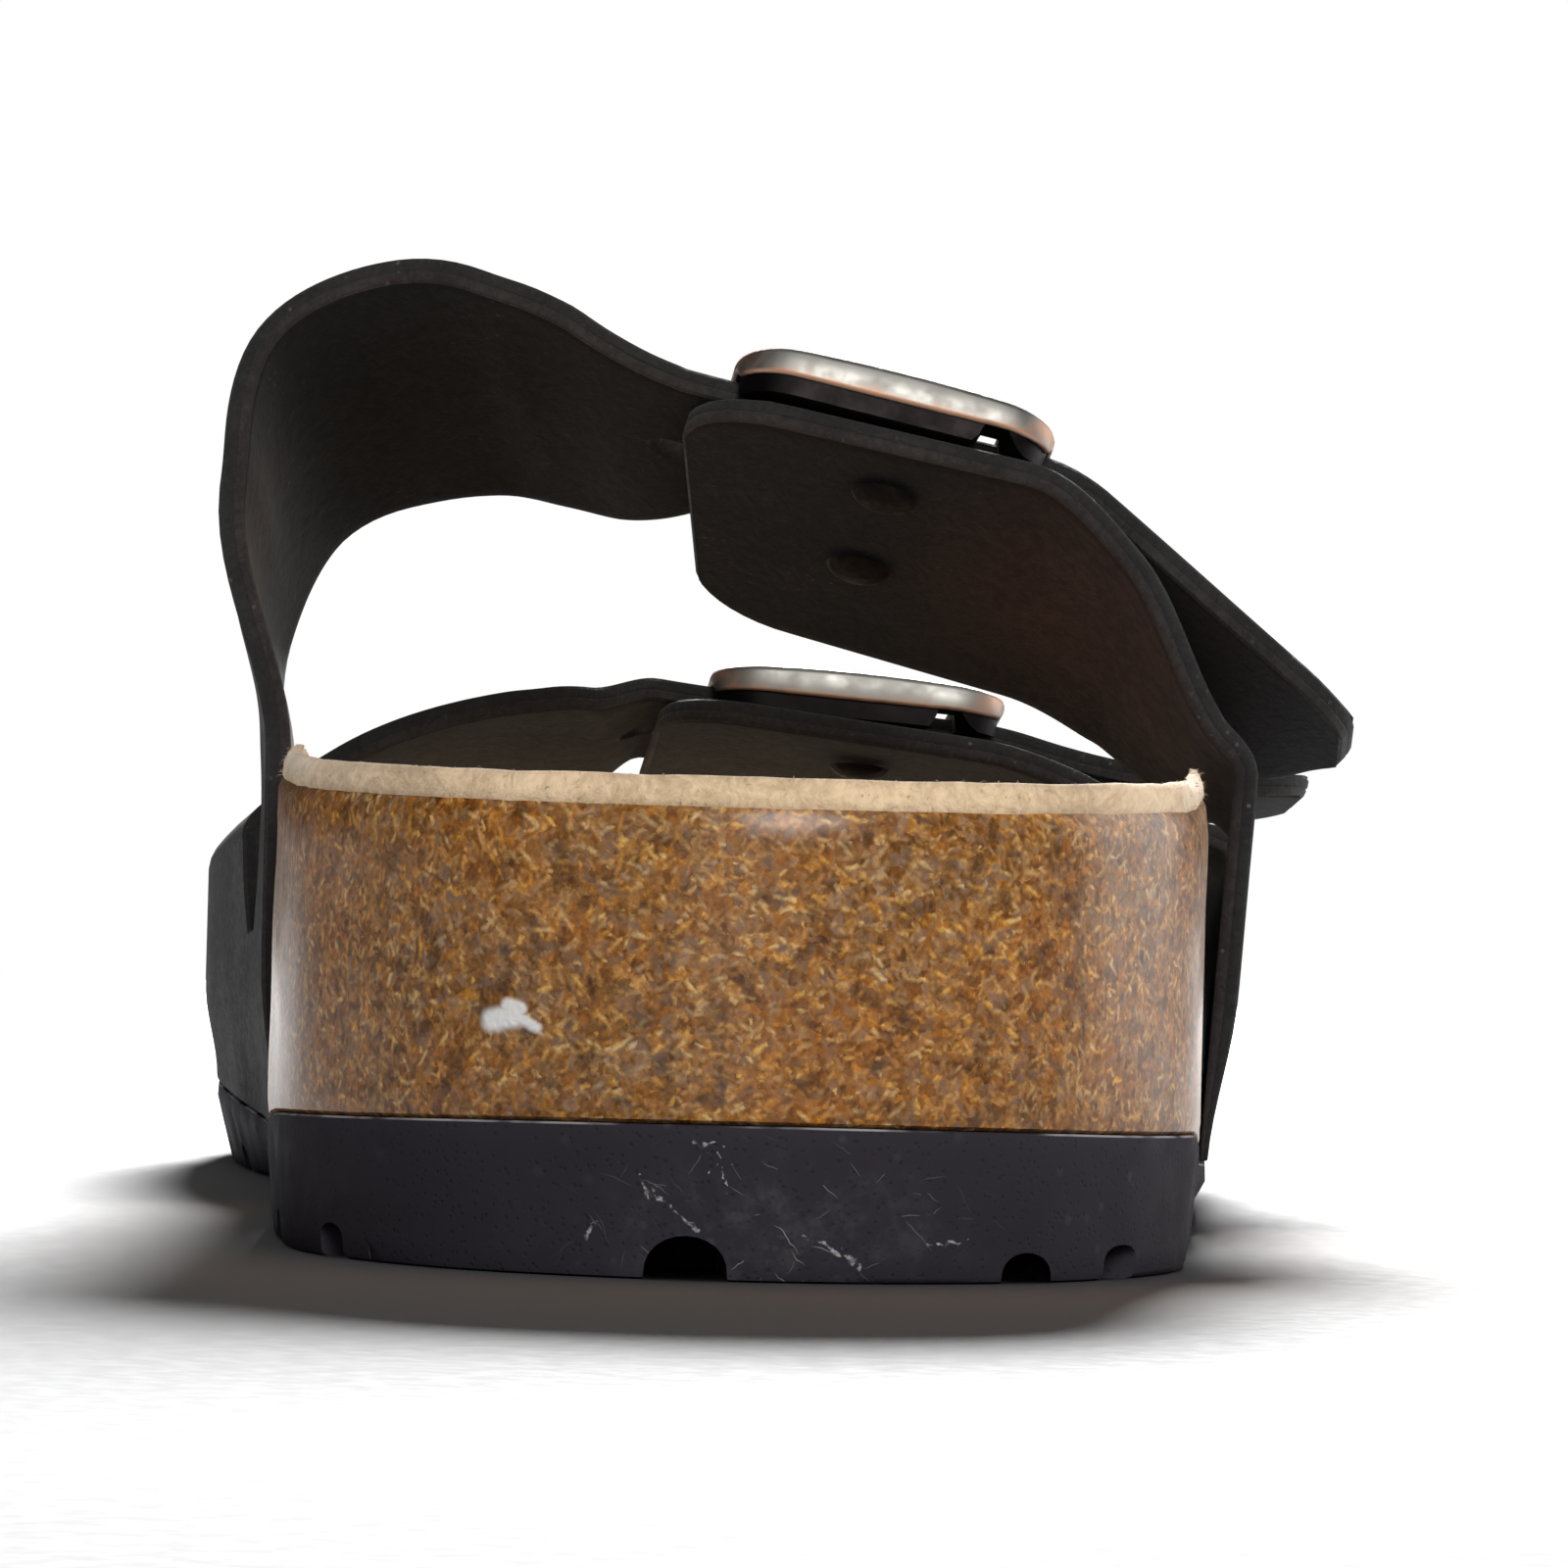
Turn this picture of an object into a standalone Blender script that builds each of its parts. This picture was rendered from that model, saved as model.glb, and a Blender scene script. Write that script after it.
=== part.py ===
"""Right sandal with two buckled straps on a contoured cork footbed and a foam outsole.

Sizes are in millimetres in a working frame: x = 0 on the heel's middle and growing to the outer (lateral)
side, y = 0 at the back of the heel and growing to the toe, z = 0 on the floor. An empty carries every piece
and puts the middle of the sandal's floor print at the world's origin.
"""

import math

import bmesh
import bpy
import numpy as np
from mathutils import Matrix, Vector

MM = 0.001

# Driving dimensions
GAP = 0.3               # clearance between pieces that touch
LEATHER = 2.0           # strap thickness
LINING = 2.0            # suede cover of the footbed
SOLE_UNDERCUT = 0.6     # outsole is this much narrower at the floor
SOLE_EDGE = 0.5         # bevel of the outsole's lower edge
STRAP_LEDGE = 0.8       # outsole stands out this much under the straps
LEDGE_RANGE = (88.0, 212.0)     # where the outsole stands out
LEDGE_FADE = 12.0
SEAM_BEVEL = 1.4        # height of the softened edges along the seam of outsole and cork
SEAM_INSET = 0.5        # outsole draws in this much at the seam
CORK_INSET = 0.8        # cork draws in this much at the seam
RIM_BEVEL = 2.6         # height of the cork's softened rim
RIM_INSET = 0.5         # cork draws in this much at the rim
LINING_INSET = 0.9      # the lining's upper edge draws in this much
PELOTTE_RISE = 3.0      # bump behind the ball of the foot
PELOTTE_PLACE = (-2.0, 150.0)
PELOTTE_SPREAD = (15.0, 17.0)
TOE_BAR_RISE = 1.8      # ridge under the toes
TOE_BAR_PLACE = 207.0
TOE_BAR_SLANT = 0.12
TOE_BAR_SPREAD = 7.0
ARCH_RISE = 3.2         # raised inner arch of the footbed
ARCH_PLACE = 112.0
ARCH_SPREAD = 34.0
ARCH_REACH = 30.0       # the arch is at full height this far from the middle
RELIEF_POWER = 6        # how late bump, ridge and arch fade out at the rim
BOWL_POWER = 4.0        # how late the footbed turns up to its rim
RIM_CLEAR = 1.0         # the leather's legs stand this much above the rim before they bend
OUTER_LEAN = 2.0        # the leather leans out this much at the outer rim
TAIL_LENGTH = 27.0      # free strap end beyond the buckle
TAIL_SAG = {"rear": (0.0, 3.8), "front": (0.0, 0.0)}    # back and front edge of each free end sag on the way
TAIL_CURL = {"rear": (0.0, 1.2), "front": (5.5, 5.5)}   # and curl up this much at the tip
SAG_PEAK = 0.6          # share of the free end where the sag is deepest
TAIL_ROUND = (5.5, 12.0)    # rounding of the free strap end at its back and front corner
FLAP_ROUND = (8.0, 8.0)     # rounding of the buckle flap's back and front corner
STRAP_HALF = 13.5       # half the strap's width at the buckle
PRONG_HOLE = 4.2        # punched hole in the strap
HOLE_PITCH = 11.0       # distance between punched holes
HOLE_STEPS = (-2, -1, 0, 1)     # holes counted from the prong's own
FRAME_LENGTH = 26.6     # buckle frame along the strap
FRAME_WIDTH = 35.4      # buckle frame across the strap
FRAME_CORNER = 5.0      # outer corner radius of the frame
FRAME_HOLE_CORNER = 1.5
FRAME_BEVEL = 0.6
END_BAR = 4.6           # bar across the strap
SIDE_BAR = 3.2          # bar along the strap
BAR_THICK = 1.9         # thickness of the bars across the strap
FRAME_SEAT = 0.55       # frame stands this much off the flap
FRAME_FOOT = 2.9        # length of the feet at the frame's outer end
FRAME_SLOT = 3.8        # length of the open slots beside the feet
SLOT_TOP = 2.1          # height of the slots above the flap
PRONG_WIRE = 1.8        # prong diameter
PRONG_NOTCH = 2.6       # width of the notch that takes the prong's tip
NOTCH_DEPTH = 1.1
PRONG_OFFSET = 1.0      # prong's hole and rivets stand this far beyond the buckle's middle
RIVET_HEAD = 5.4        # rivet head diameter
RIVET_HEIGHT = 1.0
RIVET_SPREAD = 17.0     # distance between the two rivets of a buckle
GROOVE_WIDTH = 3.6      # tread grooves
GROOVE_DEPTH = 2.4
GROOVE_START = 18.0     # first groove, from the back of the heel
GROOVE_PITCH = 21.0
GROOVE_WAVE = 2.6       # side swing of a groove
GROOVE_WAVELENGTH = 33.0
GROOVE_SHOULDER = 0.55  # share of the depth where the groove's roof starts to round
HEEL_NOTCHES = ((-27.0, 3.6, 1.8), (-4.2, 5.6, 3.0), (19.0, 3.6, 2.1))    # x, width and height of each

# Mesh fineness
HALF_STEPS = 34         # points along each side of the sole
ARM_COLUMNS = 5         # strips across a strap
WEB_COLUMNS = 2         # strips across the web between the two straps
BED_SHARES = (0.93, 0.84, 0.72, 0.55, 0.3, 0.0)     # loops of the footbed from rim to middle line

# Print of the sole: y, inner side x, outer side x
OUTLINE = np.array((
    (0.0, 0.0, 0.0),
    (7.0, -19.0, 19.5),
    (22.0, -29.6, 30.2),
    (45.0, -33.3, 34.2),
    (70.0, -33.8, 37.0),
    (92.0, -33.8, 39.1),
    (115.0, -33.9, 41.5),
    (140.0, -36.0, 44.0),
    (165.0, -39.8, 46.3),
    (190.0, -42.0, 47.0),
    (215.0, -41.0, 43.8),
    (237.0, -35.0, 34.5),
    (252.0, -23.5, 19.0),
    (260.0, -6.0, -6.0),
))

# Heights along the sole: y, underside, seam between outsole and cork, middle of the footbed, rim
LEVELS = np.array((
    (0.0, 0.0, 10.4, 26.5, 33.5),
    (12.0, 0.0, 10.0, 25.8, 33.9),
    (45.0, 0.0, 9.0, 25.0, 35.3),
    (75.0, 0.3, 6.6, 25.3, 36.4),
    (105.0, 0.7, 4.8, 25.0, 34.4),
    (135.0, 0.4, 5.2, 23.6, 30.4),
    (165.0, 0.0, 6.6, 21.4, 27.4),
    (195.0, 0.0, 7.8, 20.4, 25.7),
    (225.0, 2.2, 9.6, 20.8, 25.6),
    (245.0, 5.0, 12.2, 22.2, 26.8),
    (260.0, 8.0, 15.0, 24.4, 28.6),
))
SPINE_ENDS = (28.0, 232.0)      # the footbed's middle line runs between these

# Inside of the straps: one row for each strap edge, with x and z of the points that the leather passes. They
# are bulge, shoulder, apex, descent, start and end of the flat stretch under the buckle, outer shoulder and
# outer side. Foot and rim points on both sides come from the sole.
FLAP = 6                # girth place where the flat stretch starts
LAST_POINT = 11         # girth place of the leather's outer foot
STRAP_EDGES = np.array((92.0, 138.0, 150.0, 198.0))
STRAP_POINTS = np.array((
    (
        (-38.5, 58.0), (-35.8, 69.7), (-26.0, 74.0), (-13.5, 70.9),
        (-4.0, 65.0), (24.0, 59.4), (31.8, 53.5), (38.8, 40.5),
    ),
    (
        (-34.8, 44.7), (-30.4, 52.2), (-17.0, 56.1), (-7.5, 54.4),
        (-0.5, 50.1), (26.0, 43.1), (33.9, 39.3), (40.6, 34.8),
    ),
    (
        (-36.0, 32.2), (-30.5, 36.6), (-18.0, 41.5), (-10.0, 42.6),
        (-3.0, 42.2), (25.0, 38.5), (33.0, 36.1), (40.5, 32.2),
    ),
    (
        (-40.5, 28.0), (-34.4, 31.6), (-19.0, 34.2), (-10.0, 33.8),
        (-4.6, 34.0), (25.0, 33.8), (33.5, 31.6), (42.2, 27.8),
    ),
))

# Cut of the two leather pieces: place along the girth, then y of the back and front edge of the rear arm and
# of the front arm. Below the web level the two arms are one.
WEB_MEDIAL = 0.65
MEDIAL_CUT = np.array((
    (0.0, 100.0, 141.0, 143.0, 199.0),
    (WEB_MEDIAL, 97.0, 139.6, 144.4, 198.0),
    (0.8, 96.3, 136.8, 147.6, 197.6),
    (1.0, 95.5, 135.0, 149.4, 197.0),
    (1.6, 94.0, 133.0, 151.0, 195.8),
    (3.0, 92.5, 131.0, 152.0, 194.0),
    (4.0, 92.0, 130.0, 152.0, 193.4),
    (5.0, 92.0, 129.0, 152.4, 193.0),
    (6.0, 94.8, 121.0, 157.5, 184.9),
    (8.0, 94.8, 121.0, 157.5, 184.9),
))
WEB_LATERAL = 10.35
LATERAL_CUT = np.array((
    (FLAP, 92.0, 136.6, 151.0, 196.0),
    (8.0, 92.6, 136.6, 151.0, 196.5),
    (9.4, 94.5, 137.0, 150.4, 198.0),
    (10.0, 96.0, 137.4, 149.2, 199.0),
    (10.2, 96.8, 138.0, 147.4, 199.4),
    (WEB_LATERAL, 97.4, 139.6, 144.4, 199.6),
    (11.0, 100.0, 141.0, 143.0, 200.0),
))
LIFT_RANGE = (5.1, FLAP)        # where the inner strap climbs onto the flap
TAIL_LEAVES = 7.5               # where the strap's free end leaves the shoe
BUCKLES = {"rear": 107.9, "front": 171.2}           # middle of the buckles: y
BUCKLE_GIRTH = {"rear": 6.53, "front": 6.62}        # and girth place

COLOURS = {
    "foam": ((0.024, 0.021, 0.028, 1.0), 0.75, 0.0),
    "cork": ((0.24, 0.115, 0.045, 1.0), 0.45, 0.0),
    "suede": ((0.62, 0.48, 0.33, 1.0), 0.9, 0.0),
    "leather": ((0.013, 0.010, 0.010, 1.0), 0.7, 0.0),
    "metal": ((0.36, 0.27, 0.22, 1.0), 0.38, 1.0),
}


def smooth(knots, values, at, straight=()):
    """Cubic curve through values at the knots, each slope taken from the neighbouring knots.

    The stretches that start at the knots numbered in straight are straight lines.
    """
    slopes = np.gradient(values, knots, axis=0)
    for start in straight:
        slopes[start:start + 2] = (values[start + 1] - values[start]) / (knots[start + 1] - knots[start])
    at = np.asarray(at, float)
    low = np.clip(np.searchsorted(knots, at, side="right") - 1, 0, len(knots) - 2)
    span = knots[low + 1] - knots[low]
    share = (at - knots[low]) / span
    extra = (np.newaxis,) * (np.ndim(values) - 1)
    share, span = share[(...,) + extra], span[(...,) + extra]
    return (
        (1 + 2 * share) * (1 - share) ** 2 * values[low]
        + share * (1 - share) ** 2 * span * slopes[low]
        + share ** 2 * (3 - 2 * share) * values[low + 1]
        + share ** 2 * (share - 1) * span * slopes[low + 1]
    )


def ease(share):
    """Soft step from 0 to 1."""
    share = np.clip(share, 0.0, 1.0)
    return share * share * (3 - 2 * share)


def level(column, y):
    return smooth(LEVELS[:, 0], LEVELS[:, column], y)


def underside(x, y, share):
    """Floor side of the outsole, flat at the heel and under the ball of the foot."""
    return np.maximum(level(1, y), 0.0)


def seam(x, y, share):
    return level(2, y)


def bed(x, y, share):
    """Top of the footbed: a bowl with rim, arch, pelotte and toe bar."""
    middle, rim = level(3, y), level(4, y)
    aside = (x - PELOTTE_PLACE[0]) / PELOTTE_SPREAD[0]
    ahead = (y - PELOTTE_PLACE[1]) / PELOTTE_SPREAD[1]
    pelotte = PELOTTE_RISE * np.exp(-aside ** 2 - ahead ** 2)
    toe_bar = TOE_BAR_RISE * np.exp(-((y - TOE_BAR_PLACE - TOE_BAR_SLANT * x) / TOE_BAR_SPREAD) ** 2)
    arch = ARCH_RISE * ease(-x / ARCH_REACH) * np.exp(-((y - ARCH_PLACE) / ARCH_SPREAD) ** 2)
    relief = (pelotte + toe_bar + arch) * (1 - share ** RELIEF_POWER)
    return middle + (rim - middle) * share ** BOWL_POWER + relief


def sole_loop():
    """Print of the sole, a closed loop from the heel's tip along the outer side, with outward directions."""
    outer = OUTLINE[:, (2, 0)]
    inner = OUTLINE[-2:0:-1, (1, 0)]
    closed = np.concatenate((outer, inner))
    wrap = 4
    padded = np.concatenate((closed[-wrap:], closed, closed[:wrap + 1]))
    knots = np.concatenate(((0.0,), np.cumsum(np.linalg.norm(np.diff(padded, axis=0), axis=1))))
    heel, toe = knots[wrap], knots[wrap + len(outer) - 1]
    heel_again = knots[wrap + len(closed)]
    at = np.concatenate((
        np.linspace(heel, toe, HALF_STEPS, endpoint=False),
        np.linspace(toe, heel_again, HALF_STEPS, endpoint=False),
    ))
    loop = smooth(knots, padded, at)
    along = np.roll(loop, -1, axis=0) - np.roll(loop, 1, axis=0)
    along /= np.linalg.norm(along, axis=1)[:, np.newaxis]
    return loop, np.column_stack((along[:, 1], -along[:, 0]))


PRINT, PRINT_OUT = sole_loop()


def spine_of(loop):
    """Point on the footbed's middle line that belongs to each point of the print."""
    facing = loop[(-np.arange(len(loop))) % len(loop)]
    y = np.clip((loop[:, 1] + facing[:, 1]) / 2, *SPINE_ENDS)
    x = smooth(OUTLINE[:, 0], OUTLINE[:, 1:].mean(axis=1), y)
    return np.column_stack((x, y))


SPINE = spine_of(PRINT)


def ring(share, height, inset=0.0, rise=0.0):
    """Loop of points at a share of the way from the middle line to the print."""
    edge = PRINT - np.reshape(inset, (-1, 1)) * PRINT_OUT
    flat = SPINE + share * (edge - SPINE)
    z = height(flat[:, 0], flat[:, 1], share) + rise
    return np.column_stack((flat, z))


def finish(name, mesh, colour, parent):
    base, roughness, metallic = COLOURS[colour]
    material = bpy.data.materials.new(name)
    material.use_nodes = True
    shader = material.node_tree.nodes["Principled BSDF"]
    shader.inputs["Base Color"].default_value = base
    shader.inputs["Roughness"].default_value = roughness
    shader.inputs["Metallic"].default_value = metallic
    mesh.materials.append(material)
    piece = bpy.data.objects.new(name, mesh)
    piece.parent = parent
    bpy.context.scene.collection.objects.link(piece)
    mesh.shade_smooth()
    mesh.set_sharp_from_angle(angle=math.radians(40))
    return piece


def mesh_of(name, bm):
    """Mesh in metres from a body in millimetres, faces turned outwards."""
    bmesh.ops.recalc_face_normals(bm, faces=bm.faces)
    bmesh.ops.scale(bm, vec=(MM, MM, MM), verts=bm.verts)
    mesh = bpy.data.meshes.new(name)
    bm.to_mesh(mesh)
    bm.free()
    return mesh


def body_of_rings(name, rings):
    """Closed body through loops that start and end on the middle line."""
    bm = bmesh.new()
    rows = [[bm.verts.new(point) for point in loop] for loop in rings]
    widths = [np.linalg.norm(loop[:, :2] - SPINE, axis=1).sum() for loop in rings]
    for number, (low, high) in enumerate(zip(rows, rows[1:])):
        near, far = (low, high) if widths[number] < widths[number + 1] else (high, low)
        for here in range(len(low)):
            after = (here + 1) % len(low)
            bm.faces.new((near[here], near[after], far[after]))
            bm.faces.new((near[here], far[after], far[here]))
    bmesh.ops.remove_doubles(bm, verts=bm.verts, dist=0.002)
    return mesh_of(name, bm)


def cut_with(piece, cutter):
    """Boolean cut that keeps the cutter out of the model."""
    cutter.hide_render = True
    cutter.display_type = "WIRE"
    step = piece.modifiers.new(cutter.name, "BOOLEAN")
    step.operation = "DIFFERENCE"
    step.solver = "EXACT"
    step.object = cutter


def cutter_of(name, bm, parent):
    cutter = bpy.data.objects.new(name, mesh_of(name, bm))
    cutter.parent = parent
    bpy.context.scene.collection.objects.link(cutter)
    return cutter


# Sole

def strap_ledge():
    """How far the outsole's upper edge stands out, only where the leather comes down."""
    y = PRINT[:, 1]
    start, end = LEDGE_RANGE
    return STRAP_LEDGE * ease((y - start) / LEDGE_FADE) * ease((end - y) / LEDGE_FADE)


def outsole(parent):
    ledge = strap_ledge()
    rings = [
        ring(0.0, underside),
        ring(0.45, underside),
        ring(0.8, underside),
        ring(1.0, underside, SOLE_UNDERCUT + SOLE_EDGE),
        ring(1.0, underside, SOLE_UNDERCUT, SOLE_EDGE),
        ring(1.0, seam, -ledge, -SEAM_BEVEL),
        ring(1.0, seam, SEAM_INSET - ledge),
        ring(0.7, seam),
        ring(0.35, seam),
        ring(0.0, seam),
    ]
    piece = finish("outsole", body_of_rings("outsole", rings), "foam", parent)
    cut_with(piece, tread_grooves(parent))
    cut_with(piece, heel_notches(parent))
    return piece


def groove(bm, route, sideways, width, depth):
    """Cutter along a route on the underside, with a round roof."""
    below = 3.0
    shoulder = GROOVE_SHOULDER * depth
    roof = (
        (-width / 2, -below),
        (-width / 2, shoulder),
        (-width / 4, depth),
        (width / 4, depth),
        (width / 2, shoulder),
        (width / 2, -below),
    )
    rows = []
    for point in route:
        corners = [Vector(point) + side * sideways + Vector((0.0, 0.0, rise)) for side, rise in roof]
        rows.append([bm.verts.new(corner) for corner in corners])
    for low, high in zip(rows, rows[1:]):
        for here in range(len(roof)):
            after = (here + 1) % len(roof)
            bm.faces.new((low[here], low[after], high[after], high[here]))
    bm.faces.new(rows[0])
    bm.faces.new(rows[-1])


def tread_grooves(parent):
    """Wavy grooves across the sole."""
    bm = bmesh.new()
    half_span, steps = 2 * GROOVE_WAVELENGTH, 25
    for middle in np.arange(GROOVE_START, OUTLINE[-1, 0] - GROOVE_START, GROOVE_PITCH):
        floor = float(underside(0.0, middle, 0.0))
        route = []
        for x in np.linspace(-half_span, half_span, steps):
            swing = GROOVE_WAVE * math.sin(2 * math.pi * x / GROOVE_WAVELENGTH)
            route.append((x, middle + swing, floor))
        groove(bm, route, Vector((0.0, 1.0, 0.0)), GROOVE_WIDTH, GROOVE_DEPTH)
    return cutter_of("tread_groove_cutter", bm, parent)


def heel_notches(parent):
    """Short grooves that run out through the back of the heel."""
    bm = bmesh.new()
    behind = -10.0
    for x, width, depth in HEEL_NOTCHES:
        route = ((x, behind, 0.0), (x, GROOVE_START - GROOVE_WAVE, 0.0))
        groove(bm, route, Vector((1.0, 0.0, 0.0)), width, depth)
    return cutter_of("heel_notch_cutter", bm, parent)


def cork_footbed(parent):
    under_lining = -LINING - GAP
    rings = [
        ring(0.0, seam, rise=GAP),
        ring(0.5, seam, rise=GAP),
        ring(1.0, seam, CORK_INSET, GAP),
        ring(1.0, seam, 0.0, GAP + SEAM_BEVEL),
        ring(1.0, bed, 0.0, under_lining - RIM_BEVEL),
        ring(1.0, bed, RIM_INSET, under_lining),
    ]
    rings += [ring(share, bed, rise=under_lining) for share in BED_SHARES]
    return finish("cork_footbed", body_of_rings("cork_footbed", rings), "cork", parent)


def insole_lining(parent):
    rings = [ring(share, bed, rise=-LINING) for share in reversed(BED_SHARES)]
    rings += [ring(1.0, bed, RIM_INSET, -LINING), ring(1.0, bed, LINING_INSET)]
    rings += [ring(share, bed) for share in BED_SHARES]
    return finish("insole_lining", body_of_rings("insole_lining", rings), "suede", parent)


# Straps

def sides_of_sole(y):
    """Inner and outer edge of the print at y."""
    inner = PRINT[:HALF_STEPS - 1:-1]
    outer = PRINT[:HALF_STEPS + 1]
    return [float(np.interp(y, side[:, 1], side[:, 0])) for side in (inner, outer)]


def section(y):
    """Points of the straps' inside across the shoe at y, from the leather's inner foot to its outer one."""
    at = min(max(y, STRAP_EDGES[0]), STRAP_EDGES[-1])
    low = min(int(np.searchsorted(STRAP_EDGES, at, side="right")), len(STRAP_EDGES) - 1) - 1
    share = (at - STRAP_EDGES[low]) / (STRAP_EDGES[low + 1] - STRAP_EDGES[low])
    upper = (1 - share) * STRAP_POINTS[low] + share * STRAP_POINTS[low + 1]
    foot = float(level(2, y)) + GAP
    rim = float(level(4, y)) + RIM_CLEAR
    inner, outer = sides_of_sole(y)
    inner_leg = ((inner - GAP, foot), (inner - GAP, rim))
    outer_leg = ((outer + GAP + OUTER_LEAN, rim), (outer + GAP, foot))
    return np.concatenate((inner_leg, upper, outer_leg))


def inside(girth, y):
    """Point on the straps' inside at a girth place: 0 and 11 are the two feet of the leather."""
    points = section(y)
    knots = np.concatenate(((0.0,), np.cumsum(np.linalg.norm(np.diff(points, axis=0), axis=1))))
    at = np.interp(girth, np.arange(len(points)), knots)
    x, z = smooth(knots, points, at, straight=(0, FLAP, LAST_POINT - 1))
    return Vector((x, y, z))


def directions(girth, y):
    """Across the shoe, along the shoe and outward at a place on the straps' inside."""
    step, pace = 0.04, 0.5
    across = inside(min(girth + step, LAST_POINT), y) - inside(max(girth - step, 0.0), y)
    along = inside(girth, y + pace) - inside(girth, y - pace)
    return across.normalized(), along.normalized(), across.cross(along).normalized()


def lateral_point(girth, y, depth):
    return inside(girth, y) + directions(girth, y)[2] * depth


def tail_hang(arm, tail, share):
    """How far a free end lies below its straight run, at a share of its length and of its width."""
    dip = tail ** 3 * (1 - tail) ** 2 / (SAG_PEAK ** 3 * (1 - SAG_PEAK) ** 2)
    back, front = (sag * dip - curl * tail ** 2 for sag, curl in zip(TAIL_SAG[arm], TAIL_CURL[arm]))
    return (1 - share) * back + share * front


def medial_point(girth, y, depth):
    """Inner-side leather: it climbs onto the flap, and its free end runs on past the buckle."""
    on_shoe = min(girth, TAIL_LEAVES)
    across, along, out = directions(on_shoe, y)
    start, end = LIFT_RANGE
    lift = (LEATHER + GAP) * float(ease((on_shoe - start) / (end - start)))
    tail = girth - on_shoe
    arm = "rear" if y < STRAP_EDGES[1] else "front"
    hang = tail_hang(arm, tail, (y - BUCKLES[arm] + STRAP_HALF) / (2 * STRAP_HALF))
    return inside(on_shoe, y) + out * (lift + depth) + across * tail * TAIL_LENGTH - Vector((0.0, 0.0, hang))


def rounded(distance, radius):
    """How far an edge draws in at a distance from a rounded end."""
    short = max(radius - distance, 0.0)
    return radius - math.sqrt(max(radius ** 2 - short ** 2, 0.0))


def leather_piece(name, cut, web, girths, place, end_distance, end_round, parent):
    """Closed leather wall cut from the straps' surface: two arms, joined below the web level."""
    order = np.argsort(cut[:, 0])
    cells, corners = [], {}
    previous = None
    for row, girth in enumerate(girths):
        edges = smooth(cut[order, 0], cut[order, 1:], min(girth, cut[:, 0].max()))
        insets = [rounded(end_distance(girth), radius) for radius in end_round]
        back, front = edges[0::2] + insets[0], edges[1::2] - insets[1]
        rear_arm = np.linspace(back[0], front[0], ARM_COLUMNS + 1)
        front_arm = np.linspace(back[1], front[1], ARM_COLUMNS + 1)
        footward = (girth - web) * (web - LAST_POINT / 2)
        joined = footward >= -1e-6
        between = np.linspace(front[0], back[1], WEB_COLUMNS + 1)[1:-1]
        ys = np.concatenate((rear_arm, between, front_arm))
        for column, y in enumerate(ys):
            corners[row, column] = (girth, y)
        for column in range(len(ys) - 1):
            in_web = ARM_COLUMNS <= column < ARM_COLUMNS + WEB_COLUMNS
            if previous is not None and (not in_web or (joined and previous)):
                cells.append(((row - 1, column), (row - 1, column + 1), (row, column + 1), (row, column)))
        previous = joined

    bm = bmesh.new()
    used = sorted({key for cell in cells for key in cell})
    skins = []
    for depth in (0.0, LEATHER):
        skins.append({key: bm.verts.new(place(*corners[key], depth)) for key in used})
    counts = {}
    for cell in cells:
        for skin in skins:
            bm.faces.new([skin[key] for key in cell])
        for pair in zip(cell, cell[1:] + cell[:1]):
            counts.setdefault(frozenset(pair), []).append(pair)
    for pairs in counts.values():
        if len(pairs) == 1:
            a, b = pairs[0]
            bm.faces.new((skins[0][a], skins[0][b], skins[1][b], skins[1][a]))
    return finish(name, mesh_of(name, bm), "leather", parent)


def upper_medial(parent):
    on_shoe = list(np.linspace(0.0, WEB_MEDIAL, 4)) + [0.8, 1.0, 1.3, 1.65]
    on_shoe += list(np.arange(2.0, TAIL_LEAVES + 0.01, 0.25))
    tail = TAIL_LEAVES + 1.0 - np.array((0.8, 0.6, 0.45, 0.32, 0.2, 0.12, 0.05, 0.015))

    def end_distance(girth):
        return (TAIL_LEAVES + 1.0 - girth) * TAIL_LENGTH

    girths = on_shoe + list(tail)
    return leather_piece(
        "upper_medial", MEDIAL_CUT, WEB_MEDIAL, girths, medial_point, end_distance, TAIL_ROUND, parent
    )


def upper_lateral(parent):
    reach = (inside(FLAP + 1, BUCKLES["rear"]) - inside(FLAP, BUCKLES["rear"])).length
    end_rows = [FLAP + share * FLAP_ROUND[0] / reach for share in (0.0, 0.08, 0.25, 0.55, 1.0)]
    on_shoe = list(np.arange(6.5, 9.6, 0.25)) + [9.75, 10.0, 10.2]
    girths = end_rows + on_shoe + list(np.linspace(WEB_LATERAL, LAST_POINT, 4))

    def end_distance(girth):
        return (girth - FLAP) * reach

    return leather_piece(
        "upper_lateral", LATERAL_CUT, WEB_LATERAL, girths, lateral_point, end_distance, FLAP_ROUND, parent
    )


# Buckles

def buckle_frame_axes(which):
    """Place and turn of a buckle: u across the shoe, v along it, w away from the flap's outer face."""
    reach, half = 0.35, FRAME_WIDTH / 2 - 2
    girth, y = BUCKLE_GIRTH[which], BUCKLES[which]
    u = inside(girth + reach, y) - inside(girth - reach, y)
    v = inside(girth, y + half) - inside(girth, y - half)
    w = u.cross(v).normalized()
    u.normalize()
    v = w.cross(u)
    seat = inside(girth, y) + w * LEATHER
    turn = Matrix((u, v, w)).transposed().to_4x4()
    return Matrix.Translation(seat) @ turn


def rounded_rectangle(length, width, radius, steps=4):
    points = []
    for quarter, (sx, sy) in enumerate(((1, 1), (-1, 1), (-1, -1), (1, -1))):
        centre = (sx * (length / 2 - radius), sy * (width / 2 - radius))
        for step in range(steps + 1):
            angle = math.pi / 2 * (quarter + step / steps)
            points.append((centre[0] + radius * math.cos(angle), centre[1] + radius * math.sin(angle)))
    return points


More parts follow.
